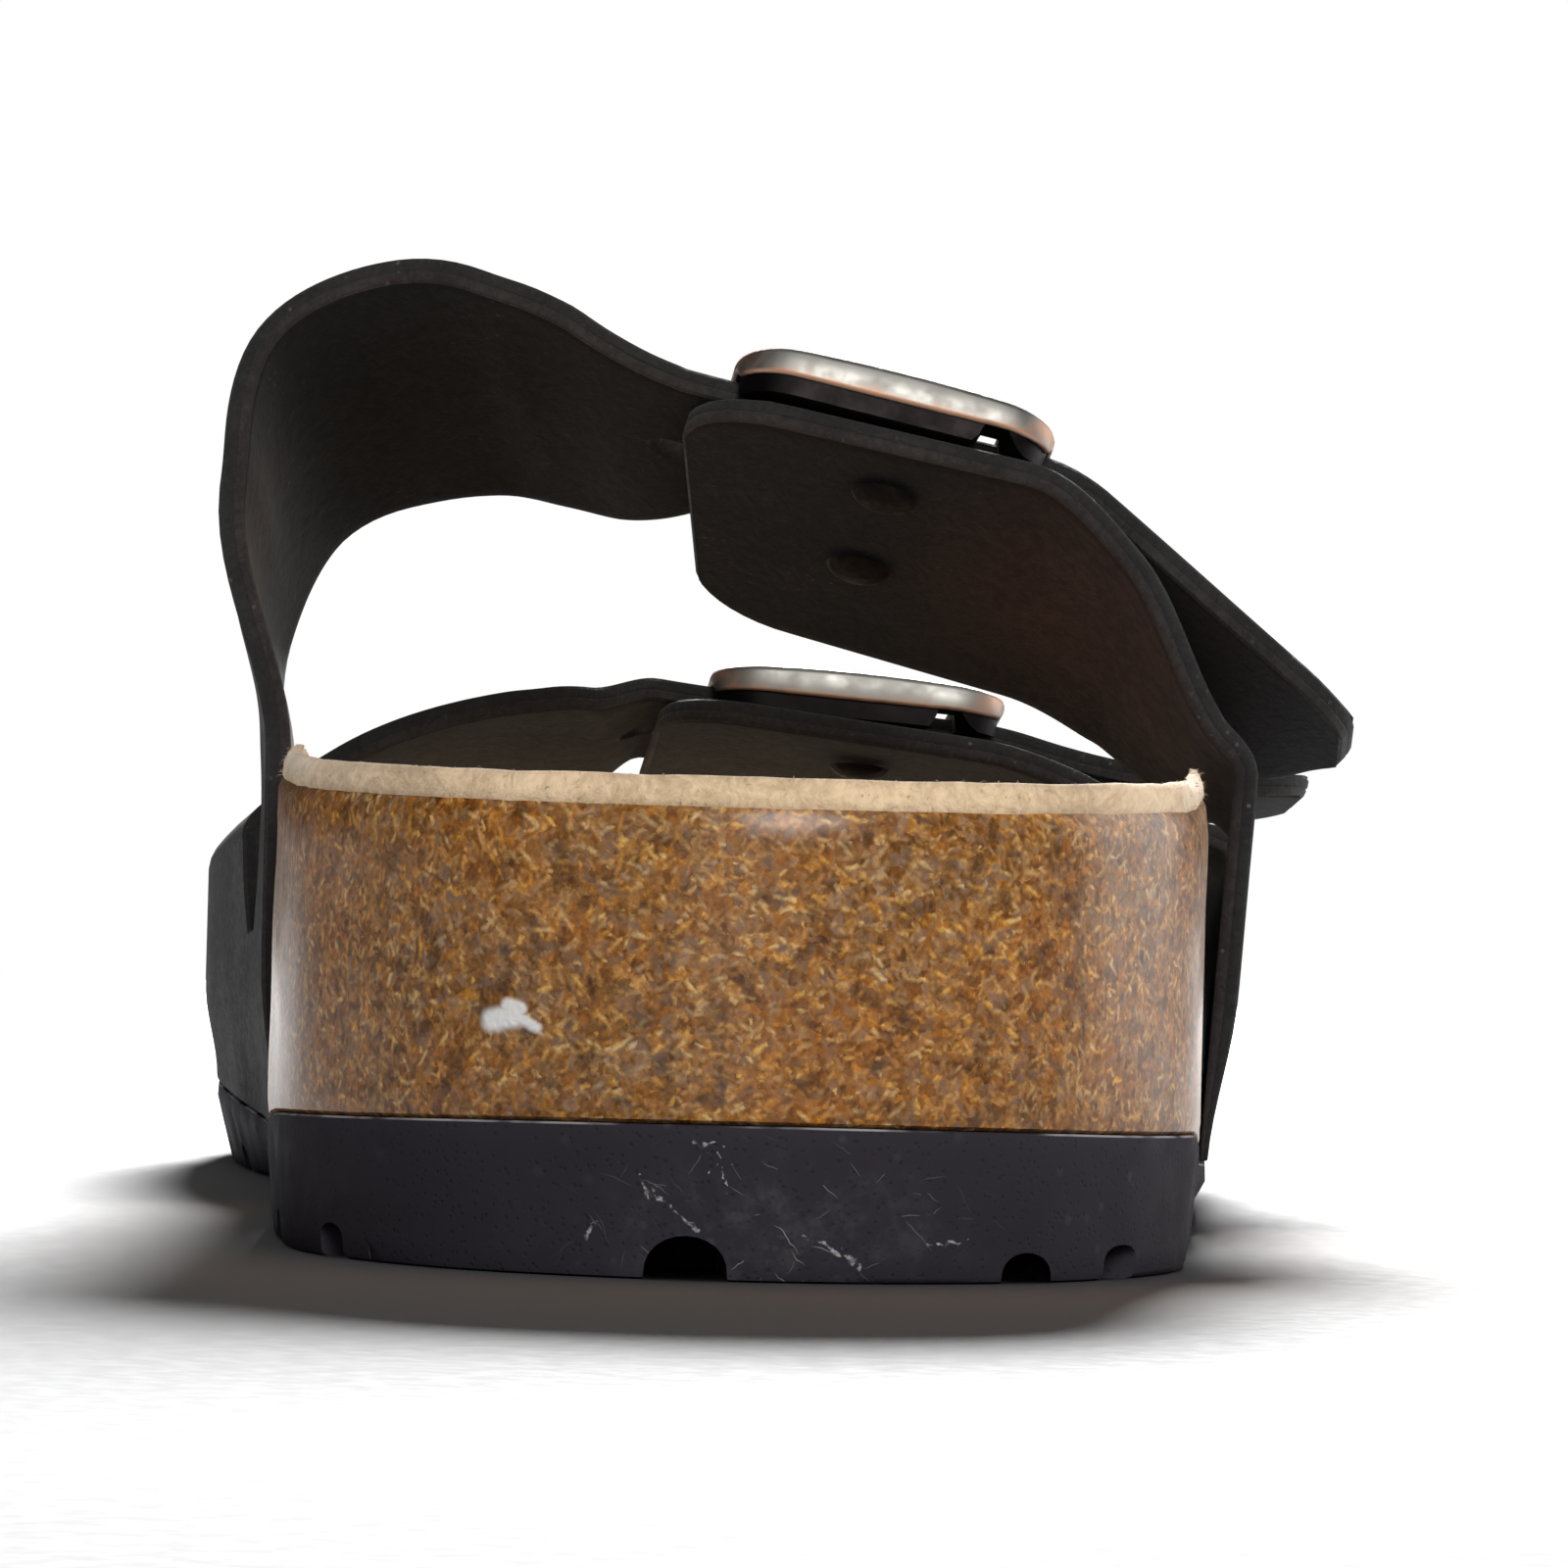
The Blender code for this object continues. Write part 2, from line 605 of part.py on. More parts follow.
def buckle_frame(which, axes, parent):
    """Cast frame: bars across the strap bridge it, slotted bars along the strap stand on the flap."""
    strap_top = LEATHER + GAP + FRAME_SEAT
    top = strap_top + BAR_THICK
    hole_length, hole_width = FRAME_LENGTH - 2 * END_BAR, FRAME_WIDTH - 2 * SIDE_BAR
    bevel = FRAME_BEVEL
    loops = [
        (FRAME_LENGTH, FRAME_WIDTH, FRAME_CORNER, FRAME_SEAT),
        (FRAME_LENGTH, FRAME_WIDTH, FRAME_CORNER, top - bevel),
        (FRAME_LENGTH - 2 * bevel, FRAME_WIDTH - 2 * bevel, FRAME_CORNER - bevel, top),
        (hole_length + 2 * bevel, hole_width + 2 * bevel, FRAME_HOLE_CORNER + bevel, top),
        (hole_length, hole_width, FRAME_HOLE_CORNER, top - bevel),
        (hole_length, hole_width, FRAME_HOLE_CORNER, FRAME_SEAT),
    ]
    bm = bmesh.new()
    rows = []
    for length, width, radius, w in loops:
        outline = rounded_rectangle(length, width, radius)
        rows.append([bm.verts.new(axes @ Vector((u, v, w))) for u, v in outline])
    for low, high in zip(rows, rows[1:] + rows[:1]):
        for here in range(len(low)):
            after = (here + 1) % len(low)
            bm.faces.new((low[here], low[after], high[after], high[here]))
    name = "buckle_frame_" + which
    piece = finish(name, mesh_of(name, bm), "metal", parent)
    strap_way = bmesh.new()
    size = Matrix.Diagonal((2 * FRAME_LENGTH, hole_width - GAP, 2 * strap_top, 1.0))
    bmesh.ops.create_cube(strap_way, size=1.0, matrix=axes @ size)
    cut_with(piece, cutter_of(name + "_strap_way", strap_way, parent))
    slot = bmesh.new()
    below = 3.0
    place = Matrix.Translation((FRAME_LENGTH / 2 - FRAME_FOOT - FRAME_SLOT / 2, 0.0, SLOT_TOP - below / 2))
    size = Matrix.Diagonal((FRAME_SLOT, 2 * FRAME_WIDTH, below, 1.0))
    bmesh.ops.create_cube(slot, size=1.0, matrix=axes @ place @ size)
    cut_with(piece, cutter_of(name + "_slot", slot, parent))
    notch = bmesh.new()
    notch_height = 4.0
    place = Matrix.Translation((-FRAME_LENGTH / 2, 0.0, top - NOTCH_DEPTH + notch_height / 2))
    size = Matrix.Diagonal((3 * END_BAR, PRONG_NOTCH, notch_height, 1.0))
    bmesh.ops.create_cube(notch, size=1.0, matrix=axes @ place @ size)
    cut_with(piece, cutter_of(name + "_prong_notch", notch, parent))
    return piece


def buckle_prong(which, axes, parent):
    """Bent pin that comes up through the strap and rests in the notch of the frame."""
    wire = PRONG_WIRE / 2
    strap_top = LEATHER + GAP
    tip = strap_top + FRAME_SEAT + BAR_THICK - NOTCH_DEPTH + GAP + wire
    end = -FRAME_LENGTH / 2
    route = (
        (PRONG_OFFSET, 0.0, GAP),
        (PRONG_OFFSET, 0.0, strap_top + 0.3),
        (PRONG_OFFSET - 0.6, 0.0, strap_top + 0.95),
        (PRONG_OFFSET - 2.0, 0.0, strap_top + 1.35),
        (end + END_BAR + 1.0, 0.0, tip),
        (end + 0.8, 0.0, tip),
    )
    name = "buckle_prong_" + which
    bm = bmesh.new()
    sides = 8
    rows = []
    for here, point in enumerate(route):
        before = Vector(route[max(here - 1, 0)])
        after = Vector(route[min(here + 1, len(route) - 1)])
        along = (after - before).normalized()
        side = Vector((0.0, 1.0, 0.0))
        lift = along.cross(side)
        loop = []
        for step in range(sides):
            angle = 2 * math.pi * step / sides
            offset = (side * math.cos(angle) + lift * math.sin(angle)) * wire
            loop.append(bm.verts.new(axes @ (Vector(point) + offset)))
        rows.append(loop)
    for low, high in zip(rows, rows[1:]):
        for here in range(sides):
            after = (here + 1) % sides
            bm.faces.new((low[here], low[after], high[after], high[here]))
    bm.faces.new(rows[0])
    bm.faces.new(rows[-1])
    return finish(name, mesh_of(name, bm), "metal", parent)


def rivet_heads(which, axes, parent):
    """Domed heads on the lining side of the flap."""
    for number, side in enumerate((-1, 1), start=1):
        name = "rivet_{}_{}".format(which, number)
        bm = bmesh.new()
        bmesh.ops.create_uvsphere(bm, u_segments=12, v_segments=6, radius=RIVET_HEAD / 2)
        above = [vert for vert in bm.verts if vert.co.z > 1e-4]
        bmesh.ops.delete(bm, geom=above, context="VERTS")
        bmesh.ops.holes_fill(bm, edges=[edge for edge in bm.edges if edge.is_boundary])
        flatten = Matrix.Diagonal((1.0, 1.0, 2 * RIVET_HEIGHT / RIVET_HEAD, 1.0))
        place = Matrix.Translation((PRONG_OFFSET, side * RIVET_SPREAD / 2, -LEATHER - FRAME_SEAT))
        bmesh.ops.transform(bm, matrix=axes @ place @ flatten, verts=bm.verts)
        finish(name, mesh_of(name, bm), "metal", parent)


def strap_holes(strap, parent):
    """Row of punched holes in each arm, the prong's own hole among them."""
    bm = bmesh.new()
    for which, y in BUCKLES.items():
        at_prong = buckle_frame_axes(which) @ Vector((PRONG_OFFSET, 0.0, 0.0))
        flap_end = inside(FLAP, y)
        per_mm = 1 / (inside(FLAP + 1, y) - flap_end).length
        pitch_girth = HOLE_PITCH * per_mm
        girth = FLAP + (at_prong - flap_end).length * per_mm
        for step in HOLE_STEPS:
            across, along, out = directions(girth + step * pitch_girth, y)
            turn = Matrix((across, along, out)).transposed().to_4x4()
            place = Matrix.Translation(inside(girth + step * pitch_girth, y) + out * 2 * LEATHER)
            bmesh.ops.create_cone(
                bm, cap_ends=True, segments=12, radius1=PRONG_HOLE / 2, radius2=PRONG_HOLE / 2,
                depth=4 * LEATHER, matrix=place @ turn,
            )
    cut_with(strap, cutter_of("strap_hole_cutter", bm, parent))


def stand_on_origin(carrier, pieces):
    """Puts the middle of the sandal's box over the world's origin."""
    corners = np.array([vert.co for piece in pieces for vert in piece.data.vertices])
    middle = (corners.min(axis=0) + corners.max(axis=0)) / 2
    carrier.location = (-middle[0], -middle[1], -corners[:, 2].min())


def main():
    for thing in list(bpy.data.objects):
        bpy.data.objects.remove(thing, do_unlink=True)
    carrier = bpy.data.objects.new("sandal", None)
    bpy.context.scene.collection.objects.link(carrier)
    outsole(carrier)
    cork_footbed(carrier)
    insole_lining(carrier)
    strap = upper_medial(carrier)
    strap_holes(strap, carrier)
    upper_lateral(carrier)
    for which in BUCKLES:
        axes = buckle_frame_axes(which)
        buckle_frame(which, axes, carrier)
        buckle_prong(which, axes, carrier)
        rivet_heads(which, axes, carrier)
    pieces = [thing for thing in bpy.data.objects if thing.type == "MESH" and not thing.hide_render]
    stand_on_origin(carrier, pieces)


main()
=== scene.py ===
"""Two-strap buckle sandal: fine cork, suede, leather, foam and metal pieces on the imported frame.

Sizes in the tables are in millimetres in the shoe's working frame: x = 0 on the heel's middle and growing to
the outer side, y = 0 at the back of the heel and growing to the toe, z = 0 on the floor.
"""

import math

import bmesh
import bpy
import numpy as np
from bpy.props import FloatProperty, FloatVectorProperty, IntProperty, PointerProperty
from mathutils import Matrix, Vector, noise


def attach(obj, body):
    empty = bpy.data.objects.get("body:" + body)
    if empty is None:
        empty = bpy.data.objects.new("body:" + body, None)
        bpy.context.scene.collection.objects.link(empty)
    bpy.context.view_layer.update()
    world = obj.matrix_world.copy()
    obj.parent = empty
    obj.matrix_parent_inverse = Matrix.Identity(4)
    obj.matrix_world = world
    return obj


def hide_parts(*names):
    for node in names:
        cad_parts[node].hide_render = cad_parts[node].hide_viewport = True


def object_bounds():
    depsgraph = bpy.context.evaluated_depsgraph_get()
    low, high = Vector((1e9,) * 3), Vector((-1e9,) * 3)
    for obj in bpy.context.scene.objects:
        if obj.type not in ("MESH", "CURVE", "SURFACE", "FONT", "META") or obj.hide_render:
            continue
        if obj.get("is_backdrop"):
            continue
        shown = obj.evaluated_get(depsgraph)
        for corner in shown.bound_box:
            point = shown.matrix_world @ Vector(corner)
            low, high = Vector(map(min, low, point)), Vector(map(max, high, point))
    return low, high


bl_info = {
    "name": "Cork sandal",
    "version": (1, 0, 0),
    "blender": (4, 5, 0),
    "location": "View3D > Sidebar > Sandal",
    "description": "Makes the fine pieces, finishes and studio of a two-strap cork sandal",
    "category": "Object",
}

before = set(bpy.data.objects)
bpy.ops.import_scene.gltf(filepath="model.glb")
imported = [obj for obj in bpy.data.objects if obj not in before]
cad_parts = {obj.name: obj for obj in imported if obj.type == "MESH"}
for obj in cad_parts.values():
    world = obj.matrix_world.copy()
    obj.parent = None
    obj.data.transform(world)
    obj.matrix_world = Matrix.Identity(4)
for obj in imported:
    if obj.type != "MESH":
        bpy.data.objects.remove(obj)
CAD_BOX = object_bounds()
PIECES = []
MM = 0.001

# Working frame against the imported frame: the back tip of the cork is the working frame's x = 0, y = 0.
HEEL_TIP = min(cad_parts["cork_footbed"].data.vertices, key=lambda vert: vert.co.y).co
SHIFT = Vector((HEEL_TIP.x, HEEL_TIP.y, 0.0))

# Sole
GAP = 0.3
TIGHT = 0.04
LEATHER = 2.0
LINING = 2.0
SOLE_UNDERCUT = 0.6
SOLE_EDGE = 0.5
STRAP_LEDGE = 0.8
LEDGE_RANGE = (88.0, 212.0)
LEDGE_FADE = 12.0
SEAM_BEVEL = 1.4
SEAM_INSET = 0.5
RIM_BEVEL = 2.6
RIM_INSET = 0.5
PELOTTE_RISE = 3.0
PELOTTE_PLACE = (-2.0, 150.0)
PELOTTE_SPREAD = (15.0, 17.0)
TOE_BAR_RISE = 1.8
TOE_BAR_PLACE = 207.0
TOE_BAR_SLANT = 0.12
TOE_BAR_SPREAD = 7.0
ARCH_RISE = 3.2
ARCH_PLACE = 112.0
ARCH_SPREAD = 34.0
ARCH_REACH = 30.0
RELIEF_POWER = 6
BOWL_POWER = 4.0
RIM_CLEAR = 1.0
GROOVE_WIDTH = 3.6
GROOVE_DEPTH = 2.4
GROOVE_START = 18.0
GROOVE_PITCH = 21.0
GROOVE_WAVE = 2.6
GROOVE_WAVELENGTH = 33.0
GROOVE_SHOULDER = 0.55
HEEL_NOTCHES = ((-27.0, 3.6, 1.8), (-4.2, 5.6, 3.0), (19.0, 3.6, 2.1))

# Print of the sole: y, inner side x, outer side x
OUTLINE = np.array((
    (0.0, 0.0, 0.0),
    (7.0, -19.0, 19.5),
    (22.0, -29.6, 30.2),
    (45.0, -33.3, 34.2),
    (70.0, -33.8, 37.0),
    (92.0, -33.8, 39.1),
    (115.0, -33.9, 41.5),
    (140.0, -36.0, 44.0),
    (165.0, -39.8, 46.3),
    (190.0, -42.0, 47.0),
    (215.0, -41.0, 43.8),
    (237.0, -35.0, 34.5),
    (252.0, -23.5, 19.0),
    (260.0, -6.0, -6.0),
))

# Heights along the sole: y, underside, seam between outsole and cork, middle of the footbed, rim
LEVELS = np.array((
    (0.0, 0.0, 10.4, 26.5, 33.5),
    (12.0, 0.0, 10.0, 25.8, 33.9),
    (45.0, 0.0, 9.0, 25.0, 35.3),
    (75.0, 0.3, 6.6, 25.3, 36.4),
    (105.0, 0.7, 4.8, 25.0, 34.4),
    (135.0, 0.4, 5.2, 23.6, 30.4),
    (165.0, 0.0, 6.6, 21.4, 27.4),
    (195.0, 0.0, 7.8, 20.4, 25.7),
    (225.0, 2.2, 9.6, 20.8, 25.6),
    (245.0, 5.0, 12.2, 22.2, 26.8),
    (260.0, 8.0, 15.0, 24.4, 28.6),
))
SPINE_ENDS = (28.0, 232.0)
HALF_STEPS = 150

# Straps
OUTER_LEAN = 2.0
TAIL_LENGTH = 27.0
TAIL_SAG = {"rear": (0.0, 3.8), "front": (0.0, 0.0)}
TAIL_CURL = {"rear": (0.0, 1.2), "front": (5.5, 5.5)}
SAG_PEAK = 0.6
TAIL_ROUND = (5.5, 12.0)
FOOT_TAPER = 1.3
FOOT_RANGE = 0.45
FLAP_ROUND = (8.0, 8.0)
STRAP_HALF = 13.5
PRONG_HOLE = 4.2
HOLE_PITCH = 11.0
HOLE_STEPS = (-2, -1, 0, 1)
FLAP = 6
LAST_POINT = 11
STRAP_EDGES = np.array((92.0, 138.0, 150.0, 198.0))

# One row for each strap edge: bulge, shoulder, apex, descent, start and end of the flat stretch under the
# buckle, outer shoulder and outer side, each as x and z.
STRAP_POINTS = np.array((
    (
        (-38.5, 58.0), (-35.8, 69.7), (-26.0, 74.0), (-13.5, 70.9),
        (-4.0, 65.0), (24.0, 59.4), (31.8, 53.5), (38.8, 40.5),
    ),
    (
        (-34.8, 44.7), (-30.4, 52.2), (-17.0, 56.1), (-7.5, 54.4),
        (-0.5, 50.1), (26.0, 43.1), (33.9, 39.3), (40.6, 34.8),
    ),
    (
        (-36.0, 32.2), (-30.5, 36.6), (-18.0, 41.5), (-10.0, 42.6),
        (-3.0, 42.2), (25.0, 38.5), (33.0, 36.1), (40.5, 32.2),
    ),
    (
        (-40.5, 28.0), (-34.4, 31.6), (-19.0, 34.2), (-10.0, 33.8),
        (-4.6, 34.0), (25.0, 33.8), (33.5, 31.6), (42.2, 27.8),
    ),
))

# Cut of the leather: girth, then y of the back and front edge of the rear arm and of the front arm
WEB_MEDIAL = 0.65
MEDIAL_CUT = np.array((
    (0.0, 100.0, 141.0, 143.0, 199.0),
    (WEB_MEDIAL, 97.0, 139.6, 144.4, 198.0),
    (0.8, 96.3, 136.8, 147.6, 197.6),
    (1.0, 95.5, 135.0, 149.4, 197.0),
    (1.6, 94.0, 133.0, 151.0, 195.8),
    (3.0, 92.5, 131.0, 152.0, 194.0),
    (4.0, 92.0, 130.0, 152.0, 193.4),
    (5.0, 92.0, 129.0, 152.4, 193.0),
    (6.0, 94.8, 121.0, 157.5, 184.9),
    (8.0, 94.8, 121.0, 157.5, 184.9),
))
WEB_LATERAL = 10.35
LATERAL_CUT = np.array((
    (FLAP, 92.0, 136.6, 151.0, 196.0),
    (8.0, 92.6, 136.6, 151.0, 196.5),
    (9.4, 94.5, 137.0, 150.4, 198.0),
    (10.0, 96.0, 137.4, 149.2, 199.0),
    (10.2, 96.8, 138.0, 147.4, 199.4),
    (WEB_LATERAL, 97.4, 139.6, 144.4, 199.6),
    (11.0, 100.0, 141.0, 143.0, 200.0),
))
LIFT_RANGE = (5.1, FLAP)
TAIL_LEAVES = 7.5
BUCKLES = {"rear": 107.9, "front": 171.2}
BUCKLE_GIRTH = {"rear": 6.53, "front": 6.62}
ARM_COLUMNS = 24
WEB_COLUMNS = 6
END_STEPS = (0.0, 0.4, 1.0, 1.8, 2.8, 4.0, 5.4, 7.0, 9.0)

# Soft troughs and ridges in the leather: girth place, girth spread, height, y middle, y spread
MEDIAL_CREASES = (
    (4.55, 0.16, -0.45, 108.0, 16.0),
    (4.20, 0.13, 0.25, 112.0, 13.0),
    (3.60, 0.20, -0.25, 122.0, 9.0),
    (2.15, 0.22, -0.35, 105.0, 12.0),
    (1.70, 0.18, 0.25, 112.0, 10.0),
    (4.50, 0.18, -0.35, 172.0, 17.0),
    (3.40, 0.25, -0.30, 184.0, 9.0),
    (2.50, 0.20, 0.25, 166.0, 12.0),
)
LATERAL_CREASES = (
    (8.05, 0.12, 0.25, 128.0, 9.0),
    (8.45, 0.14, -0.40, 118.0, 15.0),
    (9.00, 0.18, 0.30, 112.0, 14.0),
    (9.45, 0.14, -0.30, 124.0, 10.0),
    (8.50, 0.16, -0.35, 178.0, 15.0),
    (9.10, 0.18, 0.25, 182.0, 12.0),
)

# Profile of a cut leather edge: height in the wall, how far it draws in
EDGE_PROFILE = ((0.0, 0.42), (0.2, 0.12), (0.75, 0.02), (0.92, 0.14), (1.1, 0.02), (1.7, 0.08), (2.0, 0.4))

# Buckles
FRAME_LENGTH = 26.6
FRAME_WIDTH = 35.4
FRAME_CORNER = 5.0
END_BAR = 4.6
SIDE_BAR = 3.2
BAR_THICK = 1.9
FRAME_SEAT = 0.55
FRAME_FOOT = 2.9
FRAME_SLOT = 3.8
SLOT_TOP = 2.1
PRONG_WIRE = 1.8
PRONG_NOTCH = 2.6
NOTCH_DEPTH = 1.1
PRONG_OFFSET = 1.0
RIVET_SPREAD = 17.0
RIVET_PROFILE = ((0.0, 1.0), (0.9, 0.97), (1.6, 0.85), (2.2, 0.58), (2.55, 0.28), (2.7, 0.0), (0.0, 0.0))

# Layers of cork flakes: shift of the pattern, flakes to a metre, half length and half width in millimetres,
# strength
CORK_FLAKES = (
    ((0.07, 0.41, 0.23), 1500.0, 0.46, 0.25, 0.7),
    ((0.31, 0.17, 0.05), 1050.0, 0.66, 0.27, 0.72),
    ((0.0, 0.0, 0.0), 760.0, 0.95, 0.27, 0.66),
)

# White chip in the cork's lacquer: start and end of each stroke and its half width, in millimetres
CHIP = (
    ((-17.6, 5.7, 16.9), (-16.0, 4.9, 17.2), 1.15),
    ((-16.5, 5.2, 17.9), (-15.5, 4.8, 17.7), 0.75),
    ((-15.5, 4.8, 17.0), (-14.3, 4.3, 16.5), 0.62),
    ((-14.3, 4.3, 16.5), (-13.2, 3.9, 14.8), 0.42),
)

# Pale scuffs on the back of the heel: start x, z and end x, z and width, in millimetres
SCUFFS = (
    (-6.6, 5.9, -3.4, 3.4, 0.17),
    (-7.4, 7.2, -6.9, 5.5, 0.11),
    (-2.2, 8.6, -1.6, 6.0, 0.09),
    (3.6, 3.3, 6.0, 2.0, 0.16),
    (6.2, 2.3, 7.4, 1.0, 0.18),
    (11.6, 2.5, 14.8, 2.9, 0.13),
    (-10.8, 2.6, -10.2, 3.6, 0.15),
    (-4.6, 9.4, -1.9, 9.0, 0.1),
    (-3.0, 7.4, -1.2, 7.9, 0.08),
)

# Fine scratches about the heel: shift of the pattern, scratches to a metre, half length and half width in
# millimetres
SCRATCHES = (
    ((0.13, 0.27, 0.44), 330.0, 1.3, 0.06),
    ((0.71, 0.05, 0.36), 520.0, 0.8, 0.05),
)


class SandalSizes(bpy.types.PropertyGroup):
    """Sizes of the fine pieces that a user would change."""

    crease: FloatProperty(
        name="Crease", description="How deep the leather's soft creases are, against the photo", default=1.0,
        min=0.0, max=2.0,
    )
    lining_wave: FloatProperty(
        name="Lining wave", description="Unevenness of the lining's cut edge", default=0.00014,
        subtype="DISTANCE", unit="LENGTH",
    )
    cork_pit: FloatProperty(
        name="Cork wave", description="Soft unevenness of the cork's wall", default=0.00016,
        subtype="DISTANCE", unit="LENGTH",
    )
    fuzz: IntProperty(
        name="Fuzz", description="Number of fibres along the lining's edge", default=2600, min=0, max=8000,
    )
    fuzz_length: FloatProperty(
        name="Fuzz length", description="Longest fibre of the lining's edge", default=0.0007,
        subtype="DISTANCE", unit="LENGTH",
    )


class SandalColours(bpy.types.PropertyGroup):
    """Colours of the finishes that a user would change."""

    cork_dark: FloatVectorProperty(
        name="Cork ground", description="Dark ground between the flakes", subtype="COLOR", default=(
            0.095, 0.036, 0.007,
        )
    )
    cork_mid: FloatVectorProperty(
        name="Cork", description="Common flakes", subtype="COLOR", default=(0.30, 0.135, 0.036)
    )
    cork_light: FloatVectorProperty(
        name="Cork light", description="Palest flakes", subtype="COLOR", default=(0.70, 0.50, 0.235)
    )
    suede: FloatVectorProperty(
        name="Lining suede", description="Tan lining", subtype="COLOR", default=(0.80, 0.60, 0.385)
    )
    foam: FloatVectorProperty(
        name="Foam", description="Outsole", subtype="COLOR", default=(0.0310, 0.0262, 0.0345)
    )
    nubuck: FloatVectorProperty(
        name="Leather", description="Outer face of the straps", subtype="COLOR", default=(
            0.0085, 0.0068, 0.0070,
        )
    )
    strap_suede: FloatVectorProperty(
        name="Strap lining", description="Inner face of the straps", subtype="COLOR", default=(
            0.0046, 0.0046, 0.0060,
        )
    )
    cut_edge: FloatVectorProperty(
        name="Cut edge", description="Cut edge of the leather", subtype="COLOR", default=(
            0.020, 0.0190, 0.0188,
        )
    )
    pewter: FloatVectorProperty(
        name="Buckle", description="Plated faces of the buckles", subtype="COLOR", default=(
            0.335, 0.322, 0.294,
        )
    )
    copper: FloatVectorProperty(
        name="Copper", description="Bare copper at worn edges", subtype="COLOR", default=(0.55, 0.325, 0.225)
    )
    paper: FloatVectorProperty(
        name="Floor", description="Studio floor", subtype="COLOR", default=(0.86, 0.86, 0.87)
    )


class SandalStage(bpy.types.PropertyGroup):
    """Light and camera."""

    lens: FloatProperty(
        name="Lens", description="Focal length in millimetres on a 36 mm wide frame", default=156.0,
    )
    roll: FloatProperty(
        name="Roll", description="The picture's clockwise roll", default=math.radians(1.5),
        subtype="ANGLE", unit="ROTATION",
    )
    top_power: FloatProperty(
        name="Top light", description="Power of the soft light overhead", default=0.7, subtype="POWER"
    )
    rear_power: FloatProperty(
        name="Rear light", description="Power of the light behind the toe", default=95.0, subtype="POWER"
    )
    fill_power: FloatProperty(
        name="Fill light", description="Power of the light behind and above the camera", default=29.0,
        subtype="POWER",
    )
    panel_power: FloatProperty(
        name="Low panel", description="Power of the low panel that the metal mirrors", default=3.0,
        subtype="POWER",
    )
    side_power: FloatProperty(
        name="Side light", description="Power of the light on the outer side", default=12.0, subtype="POWER"
    )
    sky: FloatProperty(name="Sky", description="Strength of the even white surroundings", default=0.035)


# Mesh and stage
WELD = 0.002 * MM
FRAME_STEPS = 44
HOLE_SIDES = 28
RIVET_SIDES = 24
PRONG_SIDES = 14
FLOOR_RADIUS = 1.35
CAMERA_PLACE = (-17.65, -450.0, 25.0)
CAMERA_FORWARD = (0.0426, 1.0026, 0.01809)
LIGHT_TARGET = (0.0, 0.0, 0.03)


# Curves and surfaces of the shoe

def smooth(knots, values, at, straight=()):
    """Cubic curve through values at the knots, straight on the stretches that start at the given knots."""
    slopes = np.gradient(values, knots, axis=0)
    for start in straight:
        slopes[start:start + 2] = (values[start + 1] - values[start]) / (knots[start + 1] - knots[start])
    at = np.asarray(at, float)
    low = np.clip(np.searchsorted(knots, at, side="right") - 1, 0, len(knots) - 2)
    span = knots[low + 1] - knots[low]
    share = (at - knots[low]) / span
    extra = (np.newaxis,) * (np.ndim(values) - 1)
    share, span = share[(...,) + extra], span[(...,) + extra]
    return (
        (1 + 2 * share) * (1 - share) ** 2 * values[low]
        + share * (1 - share) ** 2 * span * slopes[low]
        + share ** 2 * (3 - 2 * share) * values[low + 1]
        + share ** 2 * (share - 1) * span * slopes[low + 1]
    )


def ease(share):
    share = np.clip(share, 0.0, 1.0)
    return share * share * (3 - 2 * share)


def level(column, y):
    return smooth(LEVELS[:, 0], LEVELS[:, column], y)


def underside(x, y, share):
    return np.maximum(level(1, y), 0.0)


def seam(x, y, share):
    return level(2, y)


def bed(x, y, share):
    """Top of the footbed: a bowl with rim, arch, pelotte and toe bar."""
    middle, rim = level(3, y), level(4, y)
    aside = (x - PELOTTE_PLACE[0]) / PELOTTE_SPREAD[0]
    ahead = (y - PELOTTE_PLACE[1]) / PELOTTE_SPREAD[1]
    pelotte = PELOTTE_RISE * np.exp(-aside ** 2 - ahead ** 2)
    toe_bar = TOE_BAR_RISE * np.exp(-((y - TOE_BAR_PLACE - TOE_BAR_SLANT * x) / TOE_BAR_SPREAD) ** 2)
    arch = ARCH_RISE * ease(-x / ARCH_REACH) * np.exp(-((y - ARCH_PLACE) / ARCH_SPREAD) ** 2)
    relief = (pelotte + toe_bar + arch) * (1 - share ** RELIEF_POWER)
    return middle + (rim - middle) * share ** BOWL_POWER + relief


def sole_loop():
    """Print of the sole, a closed loop from the heel's tip along the outer side, with outward directions."""
    outer = OUTLINE[:, (2, 0)]
    inner = OUTLINE[-2:0:-1, (1, 0)]
    closed = np.concatenate((outer, inner))
    wrap = 4
    padded = np.concatenate((closed[-wrap:], closed, closed[:wrap + 1]))
    knots = np.concatenate(((0.0,), np.cumsum(np.linalg.norm(np.diff(padded, axis=0), axis=1))))
    heel, toe = knots[wrap], knots[wrap + len(outer) - 1]
    heel_again = knots[wrap + len(closed)]
    at = np.concatenate((
        np.linspace(heel, toe, HALF_STEPS, endpoint=False),
        np.linspace(toe, heel_again, HALF_STEPS, endpoint=False),
    ))
    loop = smooth(knots, padded, at)
    along = np.roll(loop, -1, axis=0) - np.roll(loop, 1, axis=0)
    along /= np.linalg.norm(along, axis=1)[:, np.newaxis]
    return loop, np.column_stack((along[:, 1], -along[:, 0]))


PRINT, PRINT_OUT = sole_loop()


